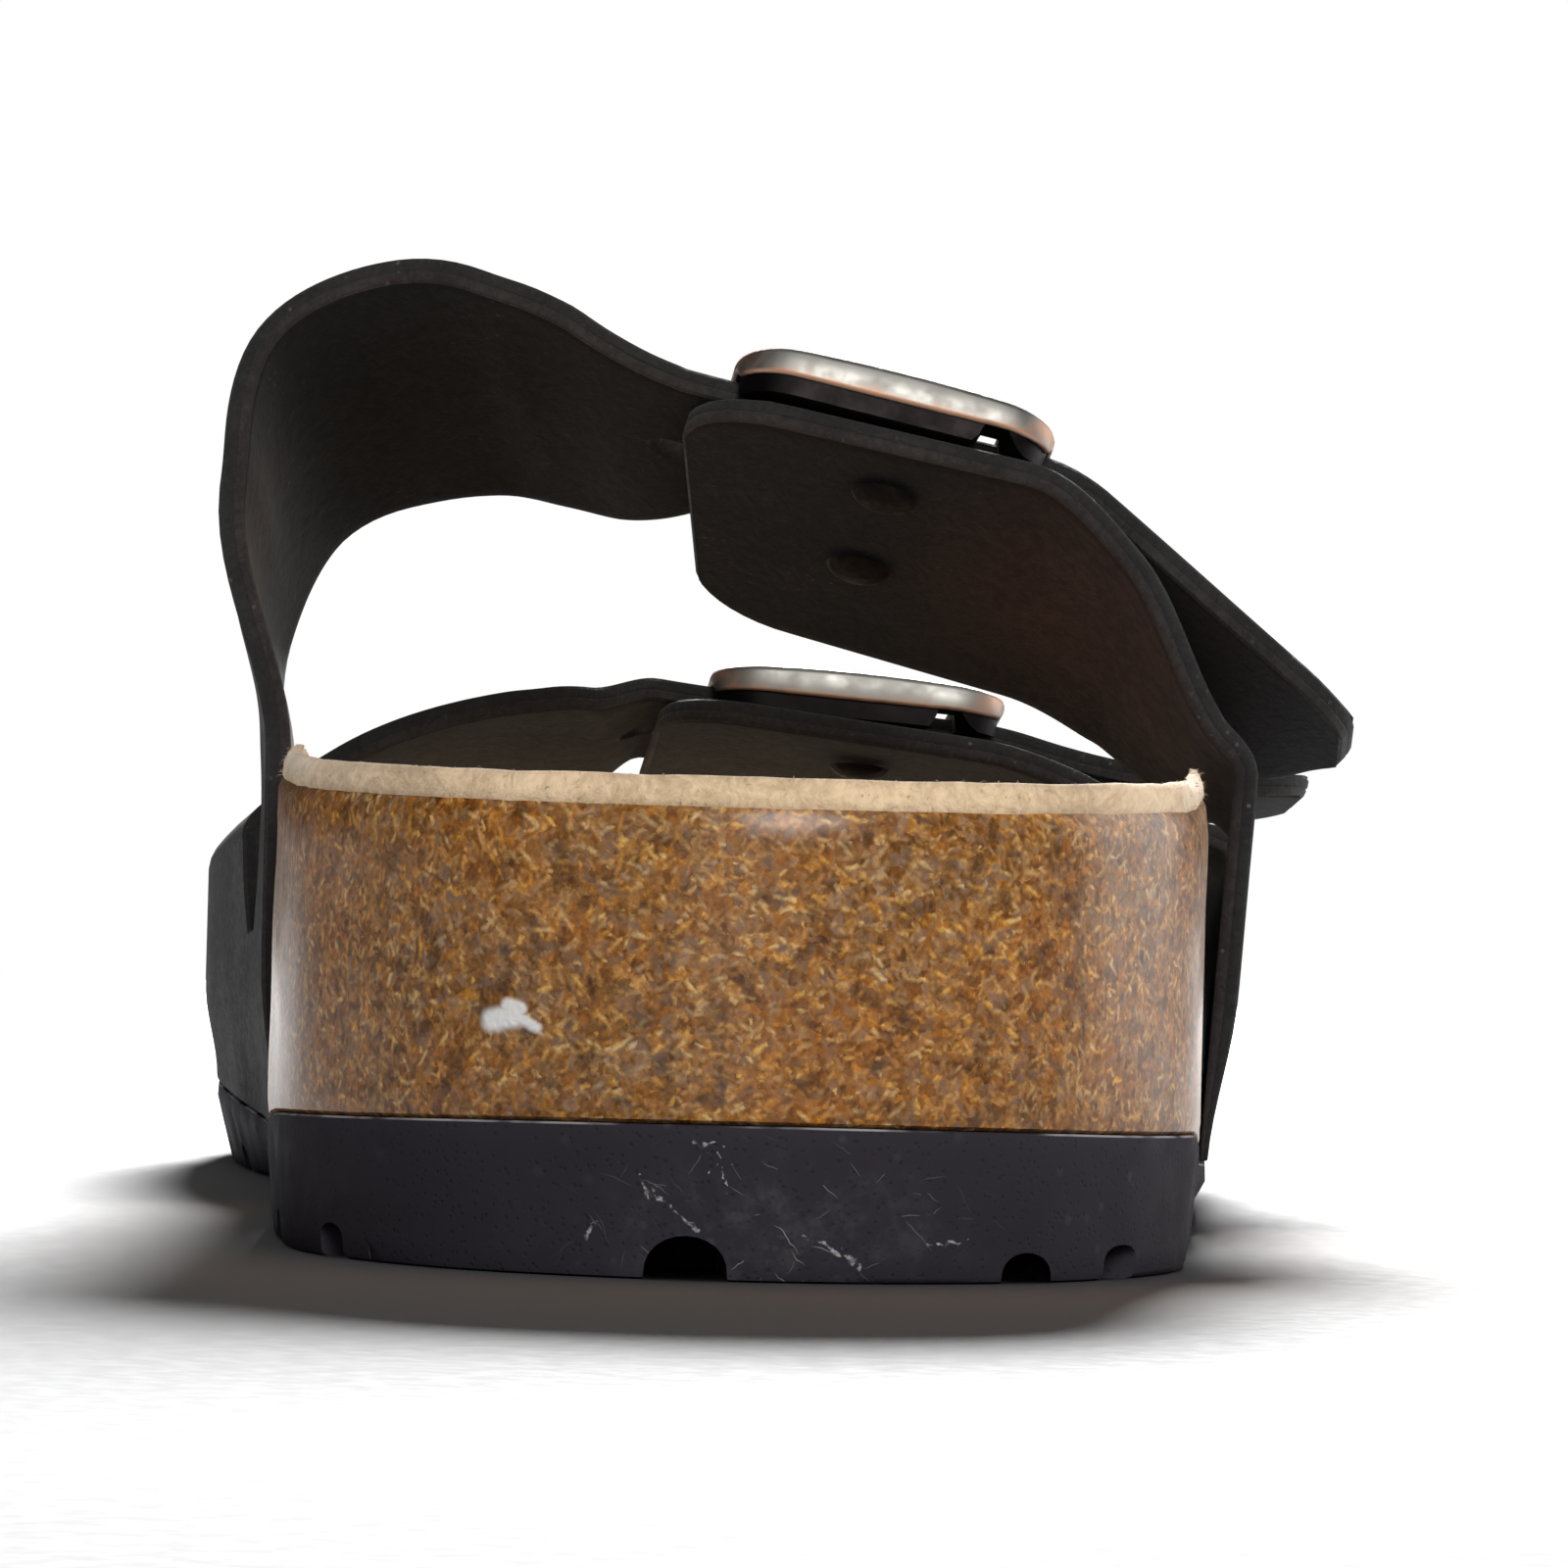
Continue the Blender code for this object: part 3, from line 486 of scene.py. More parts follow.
def spine_of(loop):
    """Point on the footbed's middle line that belongs to each point of the print."""
    facing = loop[(-np.arange(len(loop))) % len(loop)]
    y = np.clip((loop[:, 1] + facing[:, 1]) / 2, *SPINE_ENDS)
    x = smooth(OUTLINE[:, 0], OUTLINE[:, 1:].mean(axis=1), y)
    return np.column_stack((x, y))


SPINE = spine_of(PRINT)


def ring(share, height, inset=0.0, rise=0.0):
    """Loop of points at a share of the way from the middle line to the print."""
    edge = PRINT - np.reshape(inset, (-1, 1)) * PRINT_OUT
    flat = SPINE + share * (edge - SPINE)
    z = height(flat[:, 0], flat[:, 1], share) + rise
    return np.column_stack((flat, z))


def between(low, high, steps):
    """Loops that climb from low to high, both ends left out."""
    return [low + (high - low) * step / steps for step in range(1, steps)]


def sides_of_sole(y):
    inner = PRINT[:HALF_STEPS - 1:-1]
    outer = PRINT[:HALF_STEPS + 1]
    return [float(np.interp(y, side[:, 1], side[:, 0])) for side in (inner, outer)]


def section(y):
    """Points of the straps' inside across the shoe at y, from the leather's inner foot to its outer one."""
    at = min(max(y, STRAP_EDGES[0]), STRAP_EDGES[-1])
    low = min(int(np.searchsorted(STRAP_EDGES, at, side="right")), len(STRAP_EDGES) - 1) - 1
    share = (at - STRAP_EDGES[low]) / (STRAP_EDGES[low + 1] - STRAP_EDGES[low])
    upper = (1 - share) * STRAP_POINTS[low] + share * STRAP_POINTS[low + 1]
    foot = float(level(2, y)) + GAP
    rim = float(level(4, y)) + RIM_CLEAR
    inner, outer = sides_of_sole(y)
    inner_leg = ((inner - GAP, foot), (inner - GAP, rim))
    outer_leg = ((outer + GAP + OUTER_LEAN, rim), (outer + GAP, foot))
    return np.concatenate((inner_leg, upper, outer_leg))


def inside(girth, y):
    """Point on the straps' inside at a girth place: 0 and 11 are the two feet of the leather."""
    points = section(y)
    knots = np.concatenate(((0.0,), np.cumsum(np.linalg.norm(np.diff(points, axis=0), axis=1))))
    at = np.interp(girth, np.arange(len(points)), knots)
    x, z = smooth(knots, points, at, straight=(0, FLAP, LAST_POINT - 1))
    return Vector((x, y, z))


def directions(girth, y):
    """Across the shoe, along the shoe and outward at a place on the straps' inside."""
    step, pace = 0.04, 0.5
    across = inside(min(girth + step, LAST_POINT), y) - inside(max(girth - step, 0.0), y)
    along = inside(girth, y + pace) - inside(girth, y - pace)
    return across.normalized(), along.normalized(), across.cross(along).normalized()


def creased(table, girth, y):
    return sum(
        height * math.exp(-((girth - place) / spread) ** 2 - ((y - middle) / reach) ** 2)
        for place, spread, height, middle, reach in table
    )


def lateral_point(girth, y, deep):
    """Inner face of the outer-side leather and its outward direction."""
    out = directions(girth, y)[2]
    return inside(girth, y) + out * deep * creased(LATERAL_CREASES, girth, y), out


def tail_hang(arm, tail, share):
    """How far a free end lies below its straight run, at a share of its length and of its width."""
    dip = tail ** 3 * (1 - tail) ** 2 / (SAG_PEAK ** 3 * (1 - SAG_PEAK) ** 2)
    back, front = (sag * dip - curl * tail ** 2 for sag, curl in zip(TAIL_SAG[arm], TAIL_CURL[arm]))
    return (1 - share) * back + share * front


def medial_point(girth, y, deep):
    """Inner face of the inner-side leather, which climbs onto the flap and runs on past the buckle."""
    on_shoe = min(girth, TAIL_LEAVES)
    across, along, out = directions(on_shoe, y)
    start, end = LIFT_RANGE
    lift = (LEATHER + GAP) * float(ease((on_shoe - start) / (end - start)))
    lift += deep * creased(MEDIAL_CREASES, girth, y)
    tail = girth - on_shoe
    arm = "rear" if y < STRAP_EDGES[1] else "front"
    hang = tail_hang(arm, tail, (y - BUCKLES[arm] + STRAP_HALF) / (2 * STRAP_HALF))
    place = inside(on_shoe, y) + out * lift + across * tail * TAIL_LENGTH - Vector((0.0, 0.0, hang))
    return place, out


def rounded(distance, radius):
    short = max(radius - distance, 0.0)
    return radius - math.sqrt(max(radius ** 2 - short ** 2, 0.0))


# Mesh helpers

def packed(point):
    """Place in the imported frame, in metres."""
    return Vector(point) * MM + SHIFT


def mesh_from(name, bm, sharp=40.0):
    bmesh.ops.recalc_face_normals(bm, faces=bm.faces)
    mesh = bpy.data.meshes.new(name)
    bm.to_mesh(mesh)
    bm.free()
    mesh.shade_smooth()
    mesh.set_sharp_from_angle(angle=math.radians(sharp))
    return mesh


def body_of_rings(name, rings, sharp=40.0, highlight_loops=()):
    """Closed body through loops from the middle line and back, with a painted highlight line on the loops
    named.
    """
    bm = bmesh.new()
    seam_highlight = bm.verts.layers.float.new("seam_highlight")
    rows = [[bm.verts.new(packed(point)) for point in loop] for loop in rings]
    for number in highlight_loops:
        for vert in rows[number]:
            vert[seam_highlight] = 1.0
    for low, high in zip(rows, rows[1:]):
        for here in range(len(low)):
            after = (here + 1) % len(low)
            bm.faces.new((low[here], low[after], high[after], high[here]))
    bmesh.ops.remove_doubles(bm, verts=bm.verts, dist=WELD)
    return mesh_from(name, bm, sharp)


def tube_rows(bm, rows, capped=True, looped=False):
    """Skin over loops of points of equal count."""
    rings = [[bm.verts.new(packed(point)) for point in row] for row in rows]
    pairs = list(zip(rings, rings[1:]))
    if looped:
        pairs.append((rings[-1], rings[0]))
    for low, high in pairs:
        for here in range(len(low)):
            after = (here + 1) % len(low)
            bm.faces.new((low[here], low[after], high[after], high[here]))
    if capped and not looped:
        bm.faces.new(rings[0])
        bm.faces.new(rings[-1])
    return rings


def add_piece(name, mesh, finishes, slot, *nodes):
    """Piece that rides on the shoe and replaces the named solids; the slot it is given is not used."""
    for finish in finishes:
        mesh.materials.append(finish)
    piece = bpy.data.objects.new(name, mesh)
    bpy.context.scene.collection.objects.link(piece)
    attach(piece, "root")
    if nodes:
        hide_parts(*nodes)
    PIECES.append(piece)
    return piece


def cut(piece, bm, material_index=0):
    """Cuts a body out of the piece and keeps the result as its mesh."""
    for face in bm.faces:
        face.material_index = material_index
    bmesh.ops.recalc_face_normals(bm, faces=bm.faces)
    shape = bpy.data.meshes.new("cutter")
    bm.to_mesh(shape)
    bm.free()
    cutter = bpy.data.objects.new("cutter", shape)
    bpy.context.scene.collection.objects.link(cutter)
    step = piece.modifiers.new("cut", "BOOLEAN")
    step.operation = "DIFFERENCE"
    step.solver = "EXACT"
    step.object = cutter
    bpy.context.view_layer.update()
    result = bpy.data.meshes.new_from_object(piece.evaluated_get(bpy.context.evaluated_depsgraph_get()))
    piece.modifiers.clear()
    old = piece.data
    piece.data = result
    bpy.data.meshes.remove(old)
    bpy.data.objects.remove(cutter)
    bpy.data.meshes.remove(shape)
    result.shade_smooth()
    result.set_sharp_from_angle(angle=math.radians(40))


# Finishes

class Wiring:
    """Shorthand for the nodes of one tree."""

    def __init__(self, tree):
        self.tree = tree

    def node(self, kind, inputs=None, **settings):
        made = self.tree.nodes.new(kind)
        for name, value in settings.items():
            setattr(made, name, value)
        for name, value in (inputs or {}).items():
            self.feed(made.inputs[name], value)
        return made

    def feed(self, socket, value):
        if isinstance(value, bpy.types.NodeSocket):
            self.tree.links.new(value, socket)
        else:
            socket.default_value = value

    def math(self, operation, first, second=0.0, third=0.0):
        made = self.tree.nodes.new("ShaderNodeMath")
        made.operation = operation
        for socket, value in zip(made.inputs, (first, second, third)):
            self.feed(socket, value)
        return made.outputs[0]

    def vector(self, operation, first, second=None, scale=None):
        made = self.tree.nodes.new("ShaderNodeVectorMath")
        made.operation = operation
        self.feed(made.inputs[0], first)
        if second is not None:
            self.feed(made.inputs[1], second)
        if scale is not None:
            self.feed(made.inputs["Scale"], scale)
        return made.outputs["Value" if operation in ("DOT_PRODUCT", "LENGTH", "DISTANCE") else "Vector"]

    def step(self, value, low, high, to_low=0.0, to_high=1.0):
        made = self.node("ShaderNodeMapRange", interpolation_type="SMOOTHSTEP")
        for socket, given in zip(made.inputs, (value, low, high, to_low, to_high)):
            self.feed(socket, given)
        return made.outputs[0]

    def mix(self, share, first, second, kind="MIX"):
        made = self.node("ShaderNodeMix", data_type="RGBA", blend_type=kind)
        self.feed(made.inputs[0], share)
        self.feed(made.inputs[6], first)
        self.feed(made.inputs[7], second)
        return made.outputs[2]

    def ramp(self, value, *stops):
        made = self.node("ShaderNodeValToRGB", {"Fac": value})
        marks = made.color_ramp.elements
        while len(marks) < len(stops):
            marks.new(0.5)
        for mark, (place, colour) in zip(marks, stops):
            mark.position = place
            mark.color = colour
        return made.outputs["Color"]

    def noise(self, vector, scale, detail=3.0, rough=0.55):
        made = self.node(
            "ShaderNodeTexNoise", {"Vector": vector, "Scale": scale, "Detail": detail, "Roughness": rough},
        )
        return made.outputs["Fac"]

    def bump(self, height, strength, distance, normal=None):
        made = self.node("ShaderNodeBump", {"Height": height, "Strength": strength, "Distance": distance})
        if normal is not None:
            self.feed(made.inputs["Normal"], normal)
        return made.outputs["Normal"]

    def group(self, tree, inputs):
        made = self.node("ShaderNodeGroup", node_tree=tree)
        for name, value in inputs.items():
            self.feed(made.inputs[name], value)
        return made


def new_group(name, inputs, outputs):
    """Empty node group with its sockets, and the wiring of its inside."""
    tree = bpy.data.node_groups.new(name, "ShaderNodeTree")
    for label, kind in inputs:
        tree.interface.new_socket(label, in_out="INPUT", socket_type="NodeSocket" + kind)
    for label, kind in outputs:
        tree.interface.new_socket(label, in_out="OUTPUT", socket_type="NodeSocket" + kind)
    wire = Wiring(tree)
    return tree, wire, wire.node("NodeGroupInput").outputs, wire.node("NodeGroupOutput").inputs


def flakes_group():
    """Short straws that lie in the surface in every direction."""
    tree, wire, given, out = new_group(
        "Flakes", (("Vector", "Vector"), ("Scale", "Float"), ("Length", "Float"), ("Width", "Float")),
        (("Mask", "Float"), ("Tone", "Float"), ("Hue", "Float")),
    )
    cells = wire.node("ShaderNodeTexVoronoi", {"Vector": given["Vector"], "Scale": given["Scale"]})
    normal = wire.node("ShaderNodeNewGeometry").outputs["Normal"]
    offset = wire.vector("SUBTRACT", given["Vector"], cells.outputs["Position"])
    offset = wire.vector(
        "SUBTRACT", offset, wire.vector("SCALE", normal, scale=wire.vector("DOT_PRODUCT", offset, normal)),
    )
    lie = wire.vector("SUBTRACT", cells.outputs["Color"], (0.5, 0.5, 0.5))
    lie = wire.vector(
        "SUBTRACT", lie, wire.vector("SCALE", normal, scale=wire.vector("DOT_PRODUCT", lie, normal)),
    )
    lie = wire.vector("NORMALIZE", lie)
    along = wire.vector("DOT_PRODUCT", offset, lie)
    aside = wire.vector("LENGTH", wire.vector("SUBTRACT", offset, wire.vector("SCALE", lie, scale=along)))
    slim = wire.step(aside, given["Width"], 0.0)
    short = wire.step(wire.math("ABSOLUTE", along), given["Length"], 0.0)
    wire.feed(out["Mask"], wire.math("MULTIPLY", slim, wire.math("POWER", short, 0.4)))
    parts = wire.node("ShaderNodeSeparateColor", {"Color": cells.outputs["Color"]})
    wire.feed(out["Tone"], parts.outputs[0])
    wire.feed(out["Hue"], parts.outputs[1])
    return tree


def streak_group():
    """Line from start to end with ragged sides, for scuffs and chips."""
    tree, wire, given, out = new_group(
        "Streak",
        (
            ("Vector", "Vector"),
            ("Start", "Vector"),
            ("End", "Vector"),
            ("Width", "Float"),
            ("Ragged", "Float"),
        ),
        (("Mask", "Float"),),
    )
    ragged = wire.node("ShaderNodeTexNoise", {"Vector": given["Vector"], "Scale": 900.0, "Detail": 4.0})
    sway = wire.vector("SUBTRACT", ragged.outputs["Color"], (0.5, 0.5, 0.5))
    place = wire.vector("ADD", given["Vector"], wire.vector("SCALE", sway, scale=given["Ragged"]))
    line = wire.vector("SUBTRACT", given["End"], given["Start"])
    offset = wire.vector("SUBTRACT", place, given["Start"])
    share = wire.math(
        "DIVIDE", wire.vector("DOT_PRODUCT", offset, line), wire.vector("DOT_PRODUCT", line, line),
    )
    share = wire.math("MINIMUM", wire.math("MAXIMUM", share, 0.0), 1.0)
    away = wire.vector("LENGTH", wire.vector("SUBTRACT", offset, wire.vector("SCALE", line, scale=share)))
    wire.feed(out["Mask"], wire.step(away, given["Width"], wire.math("MULTIPLY", given["Width"], 0.35)))
    return tree


def nap_group():
    """Brushed nap: fine fibres and soft patches where the fibres lie over."""
    tree, wire, given, out = new_group(
        "Nap", (("Vector", "Vector"), ("Fibre", "Float"), ("Patch", "Float")), (
            ("Height", "Float"), ("Shade", "Float"),
        ),
    )
    sway = wire.noise(given["Vector"], wire.math("MULTIPLY", given["Patch"], 3.0), 2.0)
    bent = wire.vector("ADD", given["Vector"], wire.vector("SCALE", (0.004, 0.006, 0.003), scale=sway))
    drawn = wire.vector("MULTIPLY", bent, (1.0, 0.35, 0.75))
    fibre = wire.noise(drawn, given["Fibre"], 5.0, 0.7)
    patch = wire.noise(given["Vector"], given["Patch"], 3.0, 0.6)
    wire.feed(out["Height"], wire.math("ADD", fibre, wire.math("MULTIPLY", patch, 0.35)))
    shade = wire.math("ADD", wire.math("MULTIPLY", fibre, 0.55), wire.math("MULTIPLY", patch, 0.45))
    wire.feed(out["Shade"], wire.step(shade, 0.34, 0.66))
    return tree


def dust_group():
    """Specks and pale dust in patches."""
    tree, wire, given, out = new_group(
        "Dust", (("Vector", "Vector"), ("Size", "Float"), ("Amount", "Float")), (("Mask", "Float"),),
    )
    patch = wire.step(
        wire.noise(given["Vector"], wire.math("MULTIPLY", given["Size"], 0.12), 3.0), 0.45, 0.72,
    )
    specks = wire.node("ShaderNodeTexVoronoi", {"Vector": given["Vector"], "Scale": given["Size"]})
    speck = wire.step(specks.outputs["Distance"], 0.22, 0.06)
    wire.feed(out["Mask"], wire.math("MULTIPLY", wire.math("MULTIPLY", speck, patch), given["Amount"]))
    return tree


def shared(name):
    """Node group by name, built once."""
    makers = {"Flakes": flakes_group, "Streak": streak_group, "Nap": nap_group, "Dust": dust_group}
    return bpy.data.node_groups.get(name) or makers[name]()


def new_finish(name, **constants):
    """Material with its Principled shader, constant values set on the shader's own sockets."""
    finish = bpy.data.materials.new(name)
    finish.use_nodes = True
    wire = Wiring(finish.node_tree)
    shader = finish.node_tree.nodes["Principled BSDF"]
    for label, value in constants.items():
        shader.inputs[label.replace("_", " ").title().replace("Ior", "IOR")].default_value = value
    place = wire.node("ShaderNodeTexCoord").outputs["Object"]
    return finish, wire, shader.inputs, place


def opaque(colour):
    return (*colour, 1.0)


def spot(x, y, z):
    return tuple(packed((x, y, z)))


def cork_finish(colours):
    finish, wire, shader, place = new_finish(
        "lacquered_cork", coat_weight=0.6, coat_roughness=0.26, coat_ior=1.45, specular_ior_level=0.1
    )
    ragged = wire.node(
        "ShaderNodeTexNoise", {"Vector": place, "Scale": 1500.0, "Detail": 4.0, "Roughness": 0.65},
    )
    sway = wire.vector("SUBTRACT", ragged.outputs["Color"], (0.5, 0.5, 0.5))
    bent = wire.vector("ADD", place, wire.vector("SCALE", sway, scale=0.00042))
    warm = wire.step(wire.noise(place, 80.0, 3.0), 0.4, 0.62)
    dark, mid, light = opaque(colours.cork_dark), opaque(colours.cork_mid), opaque(colours.cork_light)
    brown, tan = (0.185, 0.078, 0.018, 1.0), (0.50, 0.285, 0.095, 1.0)

    def grain(tone, hue):
        """Colour of one granule or flake: dark brown to cream, some ochre and some greyish."""
        plain = wire.ramp(tone, (0.0, dark), (0.28, brown), (0.58, mid), (0.86, tan), (1.0, light))
        ochre = wire.mix(1.0, plain, (1.1, 0.92, 0.42, 1.0), "MULTIPLY")
        grey = wire.mix(0.55, plain, (0.20, 0.135, 0.10, 1.0))
        return wire.mix(wire.step(hue, 0.26, 0.16), wire.mix(wire.step(hue, 0.68, 0.8), plain, ochre), grey)

    cells = wire.node("ShaderNodeTexVoronoi", {"Vector": bent, "Scale": 1250.0})
    parts = wire.node("ShaderNodeSeparateColor", {"Color": cells.outputs["Color"]})
    speckle = wire.math("MULTIPLY", wire.math("SUBTRACT", wire.noise(place, 2600.0, 3.0), 0.5), 1.1)
    tone = wire.math("ADD", wire.math("MULTIPLY", parts.outputs[0], 0.6), wire.math("ADD", speckle, 0.08))
    colour = grain(tone, parts.outputs[1])
    height = cells.outputs["Distance"]
    for shift, scale, length, width, strength in CORK_FLAKES:
        layer = wire.group(
            shared("Flakes"),
            {
                "Vector": wire.vector("ADD", bent, shift),
                "Scale": scale,
                "Length": length * MM,
                "Width": width * MM,
            },
        )
        tone = wire.math("ADD", layer.outputs["Tone"], wire.math("MULTIPLY", speckle, 0.5))
        mask = wire.math("MULTIPLY", layer.outputs["Mask"], strength)
        colour = wire.mix(mask, colour, grain(tone, layer.outputs["Hue"]))
        height = wire.math("ADD", height, mask)
    clump = wire.step(
        wire.noise(wire.vector("ADD", place, (0.5, 0.2, 0.1)), 560.0, 4.0), 0.34, 0.5, 0.55, 1.0,
    )
    colour = wire.mix(1.0, colour, clump, "MULTIPLY")
    colour = wire.mix(
        wire.math("MULTIPLY", warm, 0.5), colour, wire.mix(1.0, colour, (1.12, 0.9, 0.55, 1.0), "MULTIPLY"),
    )
    chip = 0.0
    for start, end, width in CHIP:
        streak = wire.group(
            shared("Streak"),
            {
                "Vector": place,
                "Start": spot(*start),
                "End": spot(*end),
                "Width": width * MM,
                "Ragged": 0.00045,
            },
        )
        chip = wire.math("MAXIMUM", chip, streak.outputs["Mask"])
    wire.feed(shader["Base Color"], wire.mix(chip, colour, (0.70, 0.69, 0.67, 1.0)))
    height = wire.math("ADD", wire.math("MULTIPLY", height, 0.4), wire.math("MULTIPLY", chip, 1.6))
    wire.feed(shader["Normal"], wire.bump(height, 0.3, 0.0002))
    wire.feed(shader["Roughness"], wire.step(wire.noise(place, 260.0), 0.3, 0.7, 0.5, 0.72))
    return finish


def lining_finish(colours):
    finish, wire, shader, place = new_finish(
        "tan_suede", roughness=0.95, sheen_weight=0.25, specular_ior_level=0.2,
    )
    nap = wire.group(shared("Nap"), {"Vector": place, "Fibre": 1500.0, "Patch": 70.0})
    colour = wire.mix(nap.outputs["Shade"], (0.46, 0.32, 0.19, 1.0), opaque(colours.suede))
    dust = wire.group(shared("Dust"), {"Vector": place, "Size": 900.0, "Amount": 0.35})
    colour = wire.mix(dust.outputs["Mask"], colour, (0.20, 0.12, 0.06, 1.0))
    wire.feed(shader["Base Color"], colour)
    wire.feed(shader["Roughness"], wire.step(nap.outputs["Shade"], 0.0, 1.0, 0.98, 0.86))
    wire.feed(shader["Normal"], wire.bump(nap.outputs["Height"], 0.6, 0.00035))
    return finish


def foam_finish(colours):
    finish, wire, shader, place = new_finish("foam_rubber", specular_ior_level=0.1)
    pores = wire.node("ShaderNodeTexVoronoi", {"Vector": place, "Scale": 1700.0})
    pore = wire.step(pores.outputs["Distance"], 0.32, 0.1)
    mottle = wire.noise(place, 160.0, 4.0)
    colour = wire.mix(mottle, (0.0215, 0.0184, 0.0243, 1.0), opaque(colours.foam))
    # Painted shade: the pores are darkened in colour as well as sunk by the bump.
    colour = wire.mix(wire.math("MULTIPLY", pore, 0.35), colour, (0.010, 0.009, 0.0115, 1.0))
    parts = wire.node("ShaderNodeSeparateXYZ", {"Vector": place})
    flat = wire.node("ShaderNodeCombineXYZ", {"X": parts.outputs["X"], "Z": parts.outputs["Z"]}).outputs[0]
    ragged = wire.node("ShaderNodeTexNoise", {"Vector": place, "Scale": 500.0, "Detail": 2.0})
    sway = wire.vector("SUBTRACT", ragged.outputs["Color"], (0.5, 0.5, 0.5))
    bent = wire.vector("ADD", place, wire.vector("SCALE", sway, scale=0.0011))
    marks = 0.0
    for start_x, start_z, end_x, end_z, width in SCUFFS:
        start, end = packed((start_x, 0.0, start_z)), packed((end_x, 0.0, end_z))
        streak = wire.group(
            shared("Streak"),
            {
                "Vector": flat, "Start": (start.x, 0.0, start.z), "End": (end.x, 0.0, end.z),
                "Width": width * MM, "Ragged": 0.0013,
            },
        )
        marks = wire.math("MAXIMUM", marks, streak.outputs["Mask"])
    broken = wire.step(wire.noise(place, 1500.0, 4.0), 0.36, 0.56)
    marks = wire.math("MULTIPLY", wire.math("MULTIPLY", marks, broken), 0.8)
    heel = wire.step(parts.outputs["Y"], packed((0.0, 10.0, 0.0)).y, packed((0.0, 5.0, 0.0)).y)
    centre = packed((2.0, 0.0, 3.4))
    away = wire.vector("MULTIPLY", wire.vector("SUBTRACT", flat, (centre.x, 0.0, centre.z)), (0.42, 0.0, 1.0))
    cloud = wire.step(wire.vector("LENGTH", away), 0.0075, 0.001)
    smoke = wire.step(wire.noise(place, 300.0, 5.0, 0.7), 0.44, 0.74)
    for shift, scale, length, width in SCRATCHES:
        layer = wire.group(
            shared("Flakes"),
            {
                "Vector": wire.vector("ADD", bent, shift),
                "Scale": scale,
                "Length": length * MM,
                "Width": width * MM,
            },
        )
        few = wire.math("MULTIPLY", layer.outputs["Mask"], wire.step(layer.outputs["Tone"], 0.62, 0.8))
        marks = wire.math("MAXIMUM", marks, wire.math("MULTIPLY", wire.math("MULTIPLY", few, cloud), 0.55))
    marks = wire.math("MAXIMUM", marks, wire.math("MULTIPLY", wire.math("MULTIPLY", cloud, smoke), 0.075))
    marks = wire.math("MULTIPLY", marks, heel)
    dust = wire.group(shared("Dust"), {"Vector": place, "Size": 420.0, "Amount": 0.4})
    marks = wire.math("MAXIMUM", marks, wire.math("MULTIPLY", dust.outputs["Mask"], 0.3))
    # Painted highlight: a pale broken line along the outsole's top edge at the seam, where the bevel catches
    # light.
    seam_highlight = wire.node("ShaderNodeAttribute", attribute_name="seam_highlight").outputs["Fac"]
    seam_highlight = wire.math(
        "MULTIPLY", wire.step(seam_highlight, 0.5, 0.95), wire.step(wire.noise(place, 130.0, 3.0), 0.42, 0.62),
    )
    marks = wire.math("MAXIMUM", marks, wire.math("MULTIPLY", seam_highlight, 0.75))
    wire.feed(shader["Base Color"], wire.mix(marks, colour, (0.42, 0.41, 0.41, 1.0)))
    wire.feed(shader["Roughness"], wire.step(mottle, 0.3, 0.7, 0.66, 0.86))
    height = wire.math("SUBTRACT", wire.math("MULTIPLY", wire.noise(place, 700.0, 4.0), 0.5), pore)
    wire.feed(shader["Normal"], wire.bump(wire.math("ADD", height, marks), 0.3, 0.00015))
    return finish


def nubuck_finish(colours):
    finish, wire, shader, place = new_finish("dark_nubuck", sheen_weight=0.04, specular_ior_level=0.15)
    nap = wire.group(shared("Nap"), {"Vector": place, "Fibre": 1300.0, "Patch": 55.0})
    grain = wire.node("ShaderNodeTexVoronoi", {"Vector": place, "Scale": 950.0}, feature="DISTANCE_TO_EDGE")
    pebble = wire.step(grain.outputs["Distance"], 0.0, 0.12)
    colour = wire.mix(nap.outputs["Shade"], (0.007, 0.0055, 0.0058, 1.0), opaque(colours.nubuck))
    dust = wire.group(shared("Dust"), {"Vector": place, "Size": 650.0, "Amount": 0.22})
    wire.feed(shader["Base Color"], wire.mix(dust.outputs["Mask"], colour, (0.16, 0.15, 0.145, 1.0)))
    wire.feed(shader["Roughness"], wire.step(nap.outputs["Shade"], 0.0, 1.0, 0.82, 0.64))
    height = wire.math("ADD", nap.outputs["Height"], wire.math("MULTIPLY", pebble, 0.5))
    wire.feed(shader["Normal"], wire.bump(height, 0.4, 0.0002))
    return finish


